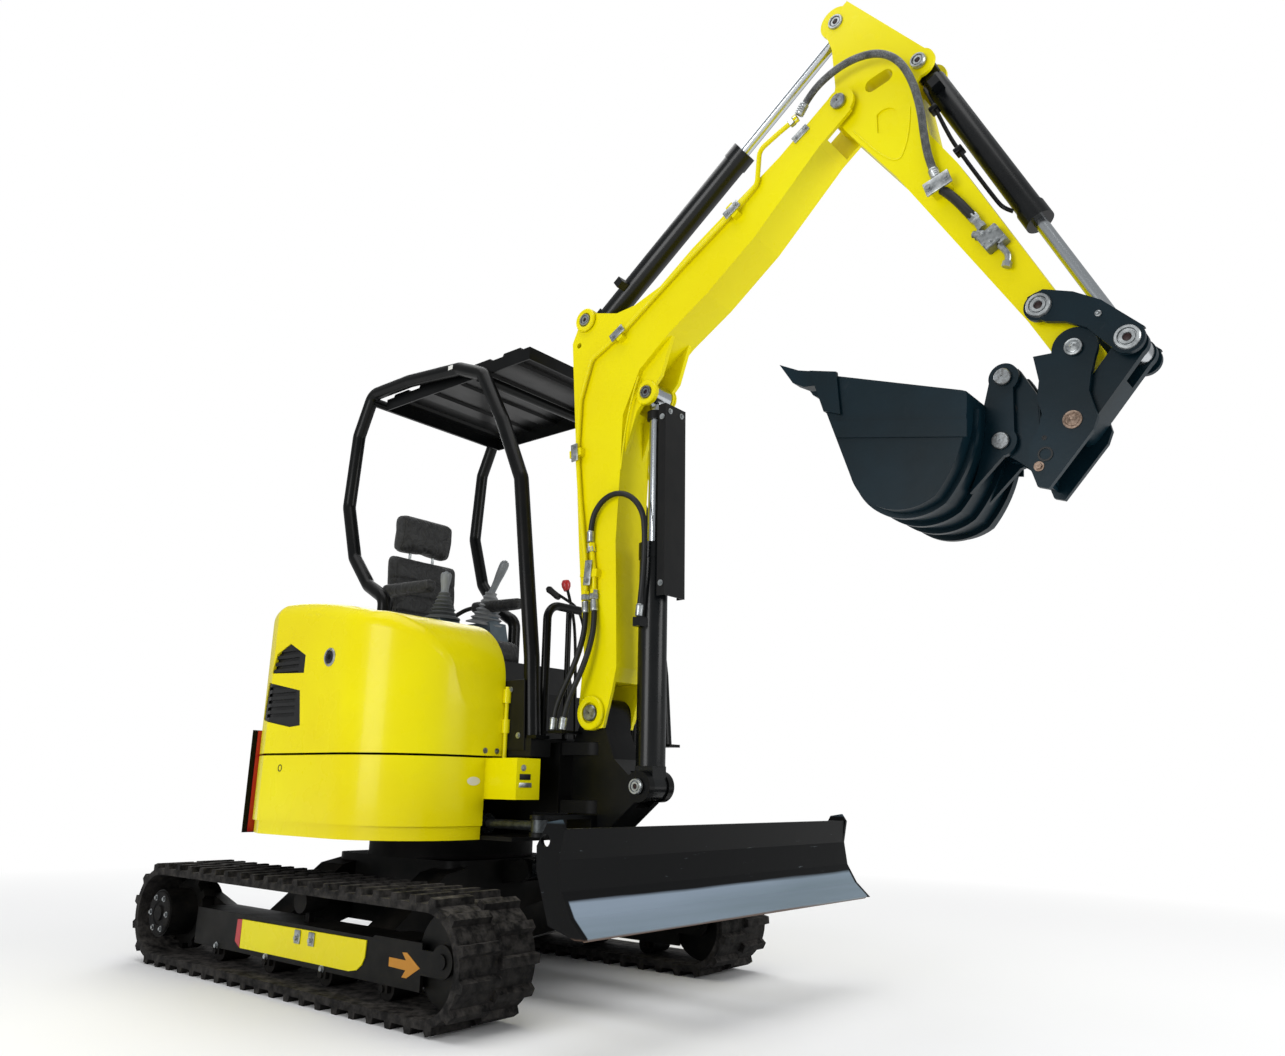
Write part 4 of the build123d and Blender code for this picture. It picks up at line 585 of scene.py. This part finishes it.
# Dark inner side panel, tool box plates and their bolts.
bm = bmesh.new()
plate(bm, ((0.438, 0.828), (0.640, 0.828), (0.627, 1.086), (0.438, 1.086)), -0.2285, -0.2325, 0.0015)
piece("inner_side_panel", "house", bm, panel_enamel)
PANEL_BOLTS = ((0.556, 1.050), (0.607, 0.881), (0.456, 0.846), (0.456, 1.066))
bolts("inner_panel_bolts", "house", [((x, -0.2325, z), (0, -1, 0)) for x, z in PANEL_BOLTS])
slabs("blank_box_plate", "house", [(0.7010, -0.279, 0.733)], (0.004, 0.052, 0.020), black_plastic,
      bevel=0.001)
slabs("grey_box_plate", "house", [(0.7010, -0.277, 0.705)], (0.004, 0.060, 0.016), bevel=0.001)
bolts("tool_box_bolts", "house", [((0.7000, side * 0.288, 0.764), (1, 0, 0)) for side in (-1, 1)])

# Operator's floor
# A chequered steel plate that lies between the seat and the levers. Bars are rolled up from it in two directions,
# and it is painted over in satin black.
CHEQUER = {"Length": 0.42, "Width": 0.84, "Rows": 19, "Columns": 39, "Finish": panel_enamel}
# Half a bar's length and width, and its height.
BAR_SIZE = (0.0125, 0.0035, 0.0018)
dress("floor", panel_enamel)
chequer, given, result = start_group("chequer_bars", Geometry="Geometry", Length="Float", Width="Float", Rows="Int",
                                     Columns="Int", Finish="Material")
grid = node(chequer, "GeometryNodeMeshGrid",
            links={"Size X": given.outputs["Length"], "Size Y": given.outputs["Width"],
                   "Vertices X": given.outputs["Rows"], "Vertices Y": given.outputs["Columns"]})
bar = node(chequer, "GeometryNodeMeshCone",
           values={"Vertices": 4, "Radius Top": 0.55, "Radius Bottom": 1.0, "Depth": 1.0})
odd = arithmetic(chequer, "MODULO", node(chequer, "GeometryNodeInputIndex").outputs["Index"], 2.0)
turn = node(chequer, "ShaderNodeCombineXYZ",
            links={"Z": arithmetic(chequer, "MULTIPLY_ADD", odd, math.pi / 2, math.pi / 4)})
copies = node(chequer, "GeometryNodeInstanceOnPoints", values={"Scale": BAR_SIZE},
              links={"Points": grid.outputs["Mesh"], "Instance": bar.outputs["Mesh"], "Rotation": turn.outputs[0]})
end_group(chequer, copies, given, result)
bars = run_nodes(bpy.data.meshes.new("chequer_bars"), chequer, CHEQUER)
floor_top = touch("floor", (0.30, 0.30, 1.6), (0, 0, -1))[0].z
bars.transform(Matrix.Translation((0.285, 0.235, floor_top)))
piece("chequer_bars", "house", bars, None, sharp=20)

# Seat
# Foam pads in black vinyl-coated cloth on a sprung moulded base: a wide cushion, a waisted backrest with sewn
# channels, and a headrest in a loose wrap, on two steel posts. Two padded armrests stand on bent brackets.
SEAT_Y = 0.205
dress("seat_base", black_plastic)

# Coated cloth: soft black with greyer creases and the print of its weave in the sheen.
seat_vinyl, tree, shader, place = start_material("black_coated_seat_cloth")
creases = noise(tree, place, 0.055, 5.0, swirl=2.4)
tone = blend_colour(tree, ramp(tree, creases, 0.3, 0.75), "#0C0C0D", "#2B2C2D")
finish_surface(tree, shader, tone, 0.58, [(cells(tree, place, 0.0022), 0.3, 0.0005), (creases, 0.8, 0.011)], gloss=0.4)
shader.inputs["Sheen Weight"].default_value = 0.08

# A pad's voxels, the pressure that swells it, how many frames it swells for, and the width of a sewn channel.
PAD_VOXEL, PAD_PRESSURE, PAD_FRAMES, CHANNEL_WIDTH = 0.009, 4.0, 15, 0.006


def pad(name, outline, half, y, soft, cap):
    """A stuffed pad: its (x, z) outline is carried across the seat, rounded, then blown up as cloth."""
    bm = bmesh.new()
    prism(bm, outline, y - half, y + half)
    bmesh.ops.recalc_face_normals(bm, faces=bm.faces)
    bmesh.ops.bevel(bm, geom=list(bm.edges), offset=soft, segments=4, affect="EDGES", profile=0.5)
    mesh = bpy.data.meshes.new(name)
    bm.to_mesh(mesh)
    bm.free()
    holder = placed(name, mesh)
    remesh = holder.modifiers.new("remesh", "REMESH")
    remesh.mode = "VOXEL"
    remesh.voxel_size = PAD_VOXEL
    holder.data = solved(holder)
    start = [v.co.copy() for v in holder.data.vertices]
    cloth = holder.modifiers.new("cloth", "CLOTH")
    cloth.settings.use_pressure = True
    cloth.settings.uniform_pressure_force = PAD_PRESSURE
    cloth.settings.effector_weights.gravity = 0
    cloth.settings.quality = 5
    for step in range(1, PAD_FRAMES + 1):
        bpy.context.scene.frame_set(step)
    blown = solved(holder)
    for vertex, before in zip(blown.vertices, start):
        moved = vertex.co - before
        if moved.length > cap:
            vertex.co = before + moved * (cap / moved.length)
    holder.data = blown
    bpy.context.scene.frame_set(1)
    smooth = holder.modifiers.new("smooth", "SUBSURF")
    smooth.levels = smooth.render_levels = 1
    made = solved(holder)
    bpy.data.objects.remove(holder)
    return made


def sewn_channels(mesh, middle, across, along, spacing, depth, reach):
    """Presses straight sewn channels into one face of a pad: lines every spacing along one direction."""
    across, along = Vector(across).normalized(), Vector(along).normalized()
    for vertex in mesh.vertices:
        offset = vertex.co - Vector(middle)
        run = offset.dot(along)
        if abs(run) <= reach and offset.dot(across) >= 0:
            near = abs((run / spacing + 0.5) % 1 - 0.5) * spacing
            vertex.co -= across * depth * math.exp(-(near / CHANNEL_WIDTH) ** 2)


ARMREST = ((-0.505, 1.540), (-0.165, 1.532), (-0.160, 1.585), (-0.505, 1.598))
# Columns: name, outline, half width, middle along Y, rounding, most swelling, CAD node that it replaces, fill.
PADS = (
    ("seat_cushion_pad", ((-0.515, 1.246), (-0.066, 1.250), (-0.066, 1.345), (-0.30, 1.338), (-0.515, 1.348)),
     0.212, SEAT_Y, 0.030, 0.010, "seat_cushion", 0.8),
    ("backrest_pad", ((-0.602, 1.250), (-0.524, 1.250), (-0.533, 1.420), (-0.566, 1.778), (-0.638, 1.784)),
     0.200, SEAT_Y, 0.030, 0.010, "seat_back", 0.8),
    ("headrest_pad", ((-0.652, 1.802), (-0.578, 1.798), (-0.560, 1.890), (-0.562, 1.985), (-0.646, 1.990)),
     0.158, SEAT_Y, 0.034, 0.010, "seat_back", 0.7),
    ("armrest_pad", ARMREST, 0.030, -0.066, 0.018, 0.005, None, 0.9),
    ("armrest_pad_left", ARMREST, 0.030, 0.476, 0.018, 0.005, None, 0.9),
)
pads = {name: pad(name, *shape) for name, *shape, replaced, fill in PADS}
sewn_channels(pads["seat_cushion_pad"], (-0.29, SEAT_Y, 1.30), (0, 0, 1), (1, 0, 0), 0.070, 0.007, 0.14)
sewn_channels(pads["backrest_pad"], (-0.570, SEAT_Y, 1.50), (1, 0, 0.1), (0.06, 0, 1), 0.080, 0.008, 0.20)
for name, *shape, replaced, fill in PADS:
    soft_piece = piece(name, "house", pads[name], seat_vinyl, sharp=60)
    if replaced:
        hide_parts(replaced)


def bars_along(name, body, routes, radius, material):
    """Round bars along routes, as one mesh."""
    bm = bmesh.new()
    for route in routes:
        holder = bpy.data.objects.new(name, route_curve(name, route, radius * 2, order=min(3, len(route))))
        mesh = bpy.data.meshes.new_from_object(holder)
        bpy.data.objects.remove(holder)
        bm.from_mesh(mesh)
    return piece(name, body, bm, material)


bars_along("headrest_posts", "house",
           [((-0.612, y, 1.740), (-0.610, y, 1.860)) for y in (SEAT_Y - 0.070, SEAT_Y + 0.070)], 0.007, zinc)
bars_along("armrest_brackets", "house",
           [((-0.575, SEAT_Y + side * 0.175, 1.50), (-0.560, bend, 1.545), (-0.52, end, 1.572), (-0.42, end, 1.570))
            for side, bend, end in ((-1, -0.02, -0.062), (1, 0.43, 0.472))], 0.011, black_plastic)


def seams_round(mesh, inset):
    """Two rings where a pad's panels are sewn together, each set in from one of its sides."""
    across = [v.co.y for v in mesh.vertices]
    rings = []
    for y in (max(across) - inset, min(across) + inset):
        bm = bmesh.new()
        bm.from_mesh(mesh)
        cut = bmesh.ops.bisect_plane(bm, geom=bm.verts[:] + bm.edges[:] + bm.faces[:], plane_co=(0, y, 0),
                                     plane_no=(0, 1, 0))["geom_cut"]
        edges = {item for item in cut if isinstance(item, bmesh.types.BMEdge)}
        spot = min(edges, key=lambda edge: edge.index).verts[0]
        ring = [tuple(spot.co)]
        while edges:
            follow = next((e for e in spot.link_edges if e in edges), None)
            if follow is None:
                break
            edges.discard(follow)
            spot = follow.other_vert(spot)
            ring.append(tuple(spot.co))
        bm.free()
        rings.append(ring[::4] + [ring[0]])
    return rings


SEAMS = (("seat_cushion_pad", 0.016), ("backrest_pad", 0.016), ("headrest_pad", 0.014))
bars_along("seat_piping", "house", [ring for name, inset in SEAMS for ring in seams_round(pads[name], inset)], 0.0030,
           seat_vinyl)

# Consoles and joysticks
# Grey moulded consoles stand on both sides of the seat. Each has a pilot joystick with a moulded grip, whose foot
# is sealed by a rubber bellows boot.

# Moulded ABS and rubber: greys with a fine grain, duller on the boots than on the grips.
# Both boots are one rubber in two copies: painted lighter on the far boot as if lit, and darker on the near boot as if
# in shade.
shaded_near_boot_rubber = moulded("shaded_dark_bellows_rubber", "#4A4D4F", "#34373A", 0.6)
lit_far_boot_rubber = moulded("lit_grey_bellows_rubber", "#8B8D8F", "#63666A", 0.6)
grip_plastic = moulded("grip_plastic", "#6E7276", "#888C90", 0.38)
dress("consoles", moulded("blue_grey_abs", "#49545C", "#59656D", 0.42))


def bellows(low, high, tall, folds):
    """The profile of a ribbed rubber boot that narrows upwards."""
    profile = [(0, 0), (low * 1.16, 0), (low * 1.16, 0.008)]
    for i in range(folds * 2 + 1):
        share = i / (folds * 2)
        radius = low + (high - low) * share ** 0.8
        profile.append((radius * (1.10 if i % 2 == 0 else 0.88), 0.010 + (tall - 0.014) * share))
    return profile + [(high * 0.9, tall), (0, tall)]


lathed("near_boot", "house", bellows(0.066, 0.024, 0.118, 6), [((-0.045, -0.095, 1.389), (0.04, 0, 1))],
       shaded_near_boot_rubber, 40)
lathed("far_boot", "house", bellows(0.085, 0.028, 0.165, 7), [((-0.430, 0.490, 1.479), (0.20, 0, 1))],
       lit_far_boot_rubber, 40)
# Columns: name, foot, direction, height.
GRIPS = (("near_grip", (-0.041, -0.095, 1.495), (0.05, 0, 1), 0.100),
         ("far_grip", (-0.400, 0.490, 1.630), (0.62, 0, 1), 0.185))
for name, at, axis, tall in GRIPS:
    bm = bmesh.new()
    lathe(bm, [(0, 0), (0.017, 0), (0.019, 0.006), (0.016, 0.018), (0.018, tall * 0.4), (0.022, tall * 0.62),
               (0.024, tall * 0.82), (0.023, tall * 0.93), (0.017, tall), (0, tall)], at, axis, 28)
    tip = Vector(at) + Vector(axis).normalized() * tall
    lathe(bm, [(0.008, -0.004), (0.008, 0.004), (0.006, 0.006), (0, 0.006)], tip, axis, 16)
    piece(name, "house", bm, grip_plastic)

# Travel levers
# Two bent steel levers, painted black and capped with moulded knobs, stand in the floor ahead of the seat. A bent
# tube guards them.
dress("front_controls", black_enamel)
for name, at, axis, material, profile in (
        ("red_knob", (0.408, 0.200, 1.512), (-0.15, 0, 1), signal_red,
         [(0, 0), (0.011, 0), (0.014, 0.008), (0.019, 0.020), (0.020, 0.034), (0.015, 0.046), (0, 0.050)]),
        ("lever_grip", (0.300, 0.265, 1.505), (-0.5, 0, 0.35), black_plastic,
         [(0, 0), (0.012, 0), (0.015, 0.012), (0.014, 0.05), (0.016, 0.075), (0.011, 0.086), (0, 0.088)])):
    lathed(name, "house", profile, [(at, axis)], material, 28)
bars_along("lever_stalks", "house",
           [[(x, y, z) for x, z in ((0.486, 0.868), (0.478, 1.10), (0.470, 1.30), *rest)] for y, rest in
            ((0.200, ((0.450, 1.42), (0.412, 1.52))), (0.265, ((0.430, 1.44), (0.330, 1.50), (0.285, 1.525))))],
           0.0065, black_enamel)

# Canopy
# A frame of bent steel tube under a folded steel roof, both in gloss black enamel. Eight bolts through the roof
# hold it to the frame.
dress("canopy_frame canopy_roof", black_enamel)
bolts("roof_bolts", "house",
      [(touch("canopy_roof", (x, y, 2.70), (0, 0, -1))[0], (0, 0, 1)) for x in (-0.40, -0.13, 0.14, 0.41)
       for y in (-0.10, 0.51)], LARGE_HEAD, pin_steel)
label_at, label_out = touch("canopy_frame", (0.05, -0.60, 2.494), (0, 1, 0))
slabs("blank_tube_label", "house", [label_at + label_out * 0.0006], (0.030, 0.0012, 0.020), white_film,
      bevel=0.0004)

# Swing bracket and working pins
# A cast bracket carries the boom. Every pin is a hardened steel bar held by a welded boss or a bolted cap,
# with its bare turned end showing.
dress("swing_bracket", black_enamel)
dress("boom arm boom_lines", lemon)

# A rusty pin head is dull steel under brown stains; the socket in a pin's middle holds old grease, dark and wet.
pin_rust = plated("rusty_pin_head", "#A38F80", "#6B584B", 0.55, 0.006)
dark_socket = enamel("oily_pin_centre", "#2A0D0C", "#151010", 0.4, gloss=0.3)

# Profiles of a pin's end and of the dark socket in its middle: shares of the pin's radius, heights in metres.
RINGED = ((1.0, -0.006), (1.0, 0.004), (0.93, 0.008), (0.74, 0.008), (0.68, 0.002), (0.62, 0.002), (0.58, 0.006),
          (0.36, 0.006), (0.30, 0.001), (0, 0.001))
FLAT = ((1.0, -0.004), (1.0, 0.005), (0.90, 0.008), (0.12, 0.008), (0.10, 0.005), (0, 0.005))
CONED = ((1.0, -0.004), (1.0, 0.004), (0.80, 0.006), (0.66, 0.003), (0.50, 0.004), (0.12, 0.013), (0, 0.013))
SOCKET = ((0.30, 0.0005), (0.30, 0.0025), (0.2, 0.0035), (0, 0.0035))
# Columns: x, z, radius, profile, finish, nodes it stands on, body it rides on.
PINS = (
    (1.910, 3.408, 0.029, RINGED, zinc, "arm", "arm"),
    (2.213, 3.078, 0.027, RINGED, zinc, "arm", "arm"),
    (2.535, 2.058, 0.036, RINGED, zinc, "arm side_links", "arm"),
    (1.926, 3.042, 0.028, FLAT, pin_steel, "boom arm", "boom"),
    (0.745, 2.562, 0.026, RINGED, zinc, "boom", "boom"),
    (1.050, 2.178, 0.026, RINGED, pin_steel, "boom rod_guard boom_cylinder_rod", "boom"),
    (0.835, 0.964, 0.030, FLAT, pin_steel, "boom swing_bracket", "swing"),
    (1.045, 0.707, 0.027, RINGED, zinc, "swing_bracket boom_cylinder_barrel", "swing"),
    (2.755, 1.896, 0.035, RINGED, zinc, "side_links push_link", "side_links"),
    (2.613, 1.912, 0.024, CONED, zinc, "coupler arm", "bucket"),
    (2.590, 1.704, 0.026, CONED, pin_rust, "coupler push_link", "bucket"),
    (2.412, 1.875, 0.025, FLAT, pin_steel, "bucket coupler", "bucket"),
    (2.392, 1.683, 0.025, FLAT, pin_steel, "bucket coupler", "bucket"),
)


def on_both_sides(nodes, x, z):
    """The two places where the named nodes are met from either side, at one x and z."""
    return [(touch(nodes, (x, side * OUTSIDE, z), (0, -side, 0))[0], (0, side, 0)) for side in (-1, 1)]


for body in ("arm", "boom", "swing", "side_links", "bucket"):
    here = [pin for pin in PINS if pin[6] == body]
    ends = [("_pin_ends_" + word, [pin for pin in here if pin[4] is finish], finish, None, 36)
            for word, finish in (("zinc", zinc), ("steel", pin_steel), ("rusty", pin_rust))]
    centres = ("_pin_centres", [pin for pin in here if pin[3] is RINGED], dark_socket, SOCKET, 24)
    for name, chosen, finish, shape, sides in (*ends, centres):
        if not chosen:
            continue
        bm = bmesh.new()
        for x, z, radius, profile, material, nodes, rides in chosen:
            for spot, out in on_both_sides(nodes, x, z):
                lathe(bm, [(radius * r, h) for r, h in shape or profile], spot, out, sides)
        piece(body + name, body, bm, finish)

# Boom
# A box of welded lemon-yellow plate. Bosses stand round its pins, a weld runs along its stiffener, and steel
# pipes are held to its side by zinc clamps with one bolt at each end.
bm = bmesh.new()
for x, z, radius in ((0.745, 2.562, 0.050), (1.050, 2.178, 0.050), (0.835, 0.964, 0.062)):
    inner = radius * 0.60
    for spot, out in on_both_sides("boom swing_bracket", x, z):
        lathe(bm, [(inner, -0.006), (inner, 0.004), (inner + 0.003, 0.006), (radius - 0.004, 0.006), (radius, 0.002),
                   (radius, -0.006)], spot, out, 40)
piece("boom_boss_rings", "boom", bm, lemon)
STIFFENER = ((0.948, 1.880), (0.969, 2.108), (1.028, 2.241))
bars_along("boom_weld_beads", "boom",
           [[(x, side * 0.0848, z) for x, z in STIFFENER] for side in (-1, 1)], 0.0035, lemon)


def slope(turn):
    """A direction along the boom's side, turned up from X by an angle in degrees."""
    return Vector((math.cos(math.radians(turn)), 0, math.sin(math.radians(turn))))


# Columns: x, z, width, turn.
CLAMPS = ((0.819, 1.486, 0.084, 85), (0.728, 1.984, 0.060, 95), (0.936, 2.440, 0.060, 30), (1.486, 2.776, 0.060, 31))
bm = bmesh.new()
places = []
for x, z, width, turn in CLAMPS:
    block(bm, (x, -0.1135, z), (width + 0.012, 0.006, 0.034), turn)
    places += [(Vector((x, -0.1165, z)) + slope(turn) * width * share, (0, -1, 0)) for share in (-0.36, 0.36)]
piece("boom_clamp_plates", "boom", bm, zinc)
bolts("boom_clamp_bolts", "boom", places)
lathed("boom_pipe_nuts", "boom",
       [(0, 0), (0.0165, 0), (0.0178, 0.002), (0.0178, 0.018), (0.0165, 0.020), (0.0145, 0.022), (0.0145, 0.034),
        (0, 0.034)],
       [(Vector((x, -0.098, z)) - slope(turn) * 0.017, slope(turn)) for x, z, turn in
        ((0.798, 1.402, 90), (0.841, 1.402, 90), (0.818, 1.585, 100), (1.748, 3.044, 20))], sides=6, sharp=20)
tip = touch("boom", (1.770, -OUTSIDE, 2.985), (0, 1, 0))[0]
slabs("boom_tip_clip", "boom", [tip + Vector((0, -0.003, 0))], (0.070, 0.006, 0.030), turn=31)
bolts("boom_tip_bolts", "boom", [(tip + Vector((s * 0.020, -0.006, s * 0.012)), (0, -1, 0)) for s in (-1, 1)])

# Arm
# A lighter box of the same yellow plate. Its side carries the hose clamp, a sleeved pipe, and the stop valve of
# the auxiliary line in grey cast iron.
slabs("arm_clamp_plate", "arm", [(2.2643, -0.1030, 2.5695)], (0.088, 0.007, 0.050), turn=16)
bolts("arm_clamp_bolts", "arm",
      [(Vector((2.2643, -0.1065, 2.5695)) + slope(16) * share, (0, -1, 0)) for share in (-0.030, 0.030)], LARGE_HEAD)
bars_along("arm_sleeved_pipe", "arm",
           [((2.272, -0.084, 2.552), (2.300, -0.086, 2.520), (2.345, -0.086, 2.448), (2.362, -0.082, 2.418))],
           0.0155, nitrile)
# Sand-cast iron: an even grey, dull and coarse.
casting = plated("sand_cast_valve_iron", "#8B8F90", "#6A6D6E", 0.5, 0.01)
lathed("arm_valve_nut", "arm",
       [(0, 0), (0.0165, 0), (0.0175, 0.003), (0.0175, 0.020), (0.0135, 0.024), (0.0135, 0.040), (0.016, 0.043),
        (0.016, 0.060), (0, 0.060)],
       [((2.358, -0.082, 2.426), (0.48, 0.06, -0.87))], sides=6, sharp=20)
bm = bmesh.new()
block(bm, (2.412, -0.076, 2.330), (0.068, 0.044, 0.060), turn=28, bevel=0.006, segments=3)
block(bm, (2.440, -0.076, 2.318), (0.030, 0.036, 0.034), turn=28, bevel=0.004)
lathe(bm, [(0, 0), (0.017, 0), (0.017, 0.016), (0.011, 0.020), (0.011, 0.030), (0, 0.030)], (2.382, -0.076, 2.352),
      (-0.88, 0, 0.47), 24)
piece("arm_stop_valve", "arm", bm, casting)
bolts("arm_valve_screws", "arm",
      [(Vector((2.412, -0.098, 2.330)) + Vector((0.021 * a, 0, 0.019 * b)), (0, -1, 0)) for a in (-1, 0, 1)
       for b in (-1, 1)], 0.0048)
bars_along("arm_valve_elbow", "arm",
           [((2.432, -0.076, 2.300), (2.450, -0.076, 2.276), (2.456, -0.076, 2.250), (2.446, -0.077, 2.223))],
           0.0095, zinc)
lathed("arm_elbow_nut", "arm", [(0, 0), (0.0135, 0), (0.0145, 0.002), (0.0145, 0.018), (0, 0.018)],
       [((2.452, -0.0765, 2.240), (-0.33, 0, -0.94))], sides=6, sharp=20)
STIFF_ARM = ((1.962, 2.926), (2.101, 2.707), (2.164, 2.802), (2.171, 2.923))
bars_along("arm_weld_beads", "arm", [[(x, side * 0.0562, z) for x, z in STIFF_ARM] for side in (-1, 1)], 0.003, lemon)

# Hydraulic cylinders
# Drawn steel tube in gloss black with a bolted gland, and rods of ground steel under hard chrome, dulled on the
# swing cylinder. A folded sheet guards the boom cylinder's rod.

# Cylinder enamel is a deep black with a soft gloss. Hard chrome is bright metal, faintly mottled by grinding, and
# the swing cylinder's rod is dark with grease.
cylinder_enamel = enamel("cylinder_black_enamel", "#040608", "#090D0F", 0.26, coat=0.10, dust=0.04, gloss=0.25)
chrome, tree, shader, place = start_material("hard_chrome")
ground = noise(tree, place, 0.004, 2.0)
finish_surface(tree, shader, blend_colour(tree, ground, "#B4BABE", "#CFD3D6"), 0.2, [])
shader.inputs["Metallic"].default_value = 1.0
dress("blade_cylinder_barrel swing_cylinder_barrel boom_cylinder_barrel arm_cylinder_barrel bucket_cylinder_barrel",
      cylinder_enamel)
dress("blade_cylinder_rod boom_cylinder_rod arm_cylinder_rod bucket_cylinder_rod", chrome)
dress("swing_cylinder_rod", plated("dull_swing_rod", "#4E5254", "#2C2E30", 0.4))
dress("rod_guard", panel_enamel)
bolts("rod_guard_bolts", "boom_rod",
      [((1.130, side * 0.062, z), (0, side, 0)) for z in (1.42, 2.06) for side in (-1, 1)] +
      [((1.146, y, 2.085), (1, 0, 0)) for y in (-0.035, 0.035)])
PIPE_ROUTE = ((2.222, -0.046, 2.975), (2.240, -0.056, 2.930), (2.285, -0.056, 2.787), (2.316, -0.056, 2.703),
              (2.425, -0.056, 2.470), (2.448, -0.054, 2.430), (2.470, -0.040, 2.420))
bars_along("bucket_cylinder_pipe", "bucket_barrel", [PIPE_ROUTE], 0.0065, black_enamel)
slabs("bucket_pipe_clips", "bucket_barrel", [(2.323, -0.050, 2.690), (2.251, -0.050, 2.878)], (0.020, 0.034, 0.030),
      black_enamel, turn=-66, bevel=0.003)

# Bucket and coupler
# The bucket is welded wear plate and the coupler two cut plates, held by pins and one bolt on each side. Their
# blue-black enamel is scuffed through to dull grey steel in patches.
bucket_enamel, tree, shader, place = start_material("scuffed_bucket_enamel")
scuffs = noise(tree, place, 0.05, 9.0, 0.72, swirl=1.2)
fine = noise(tree, place, 0.006, 6.0, 0.7)
base = blend_colour(tree, ramp(tree, noise(tree, place, 0.3), 0.3, 0.7), "#04141A", "#08202A")
scuffed = blend_colour(tree, ramp(tree, scuffs, 0.62, 0.74), base, "#19232A")
bared = blend_colour(tree, ramp(tree, fine, 0.68, 0.76), scuffed, "#323E46")
finish_surface(tree, shader, bared, 0.36, [(fine, 0.12, 0.0006), (scuffs, 0.2, 0.002)], gloss=0.16)
dress("bucket coupler side_links push_link", bucket_enamel)
bolts("coupler_bolts", "bucket", on_both_sides("coupler", 2.490, 1.588), 0.0095, pin_rust)
bm = bmesh.new()
for x, z, sides, profile in (
        (2.510, 1.620, 32, [(0.016, -0.002), (0.016, 0.0025), (0.021, 0.0025), (0.021, -0.002)]),
        (2.511, 1.668, 20, [(0.0070, -0.002), (0.0070, 0.0012), (0.0045, 0.0012), (0.0040, 0.0002), (0, 0.0002)])):
    for spot, out in on_both_sides("coupler", x, z):
        lathe(bm, profile, spot, out, sides)
piece("coupler_rings", "bucket", bm, cylinder_enamel)
lathed("link_grease_nipples", "side_links",
       [(0.009, -0.003), (0.009, 0.005), (0.005, 0.007), (0.005, 0.014), (0, 0.015)],
       on_both_sides("side_links", 2.690, 1.985), sides=12)

# Studio
# A seamless white floor that fades to light, with a wide soft lamp overhead, a key lamp at the machine's right
# side, one in front of it and one behind its left side.
FADE_START, FADE_END = 2.0, 5.5
floor_mesh = bpy.data.meshes.new("studio_floor")
floor_mesh.from_pydata([(-30, -30, 0), (30, -30, 0), (30, 30, 0), (-30, 30, 0)], [], [(0, 1, 2, 3)])
studio_floor = placed("studio_floor", floor_mesh)
paper, tree, shader, place = start_material("studio_paper")
shader.inputs["Base Color"].default_value = linear("#F2F2F2")
shader.inputs["Roughness"].default_value = 0.95
shader.inputs["Specular IOR Level"].default_value = 0.1
far_out = node(tree, "ShaderNodeVectorMath", operation="LENGTH", links={0: place}).outputs["Value"]
WHITE_LIGHT = {"Color": linear("#FFFFFF"), "Strength": 1.0}
glow = node(tree, "ShaderNodeEmission", values=WHITE_LIGHT).outputs[0]
blended = node(tree, "ShaderNodeMixShader",
               links={0: remap(tree, far_out, FADE_START, FADE_END), 1: shader.outputs[0], 2: glow})
tree.links.new(blended.outputs[0], tree.nodes["Material Output"].inputs["Surface"])
floor_mesh.materials.append(paper)

# The air lights the machine softly, and is plain white to the camera.
world = bpy.context.scene.world = bpy.data.worlds.new("studio_air")
world.use_nodes = True
tree = world.node_tree
air = tree.nodes["Background"]
air.inputs["Color"].default_value = linear("#F4F6F8")
air.inputs["Strength"].default_value = 0.42
seen = node(tree, "ShaderNodeBackground", values=WHITE_LIGHT)
mixed = node(tree, "ShaderNodeMixShader", links={0: node(tree, "ShaderNodeLightPath").outputs["Is Camera Ray"],
                                                 1: air.outputs[0], 2: seen.outputs[0]})
tree.links.new(mixed.outputs[0], tree.nodes["World Output"].inputs["Surface"])

# Columns: name, place, size, watts.
LIGHTS = (("overhead", (0.5, -0.5, 7.5), 7.0, 330), ("key", (0.8, -6.6, 2.0), 3.0, 168),
          ("front", (6.5, 1.5, 3.0), 3.0, 150), ("rim", (-5.0, 3.5, 5.0), 4.0, 120))
LIT_AT = Vector((0.4, 0, 1.2))
for name, at, size, watts in LIGHTS:
    lamp = bpy.data.lights.new(name, "AREA")
    lamp.size = size
    lamp.energy = watts
    holder = placed(name, lamp)
    holder.location = at
    holder.rotation_euler = (LIT_AT - Vector(at)).to_track_quat("-Z", "Y").to_euler()
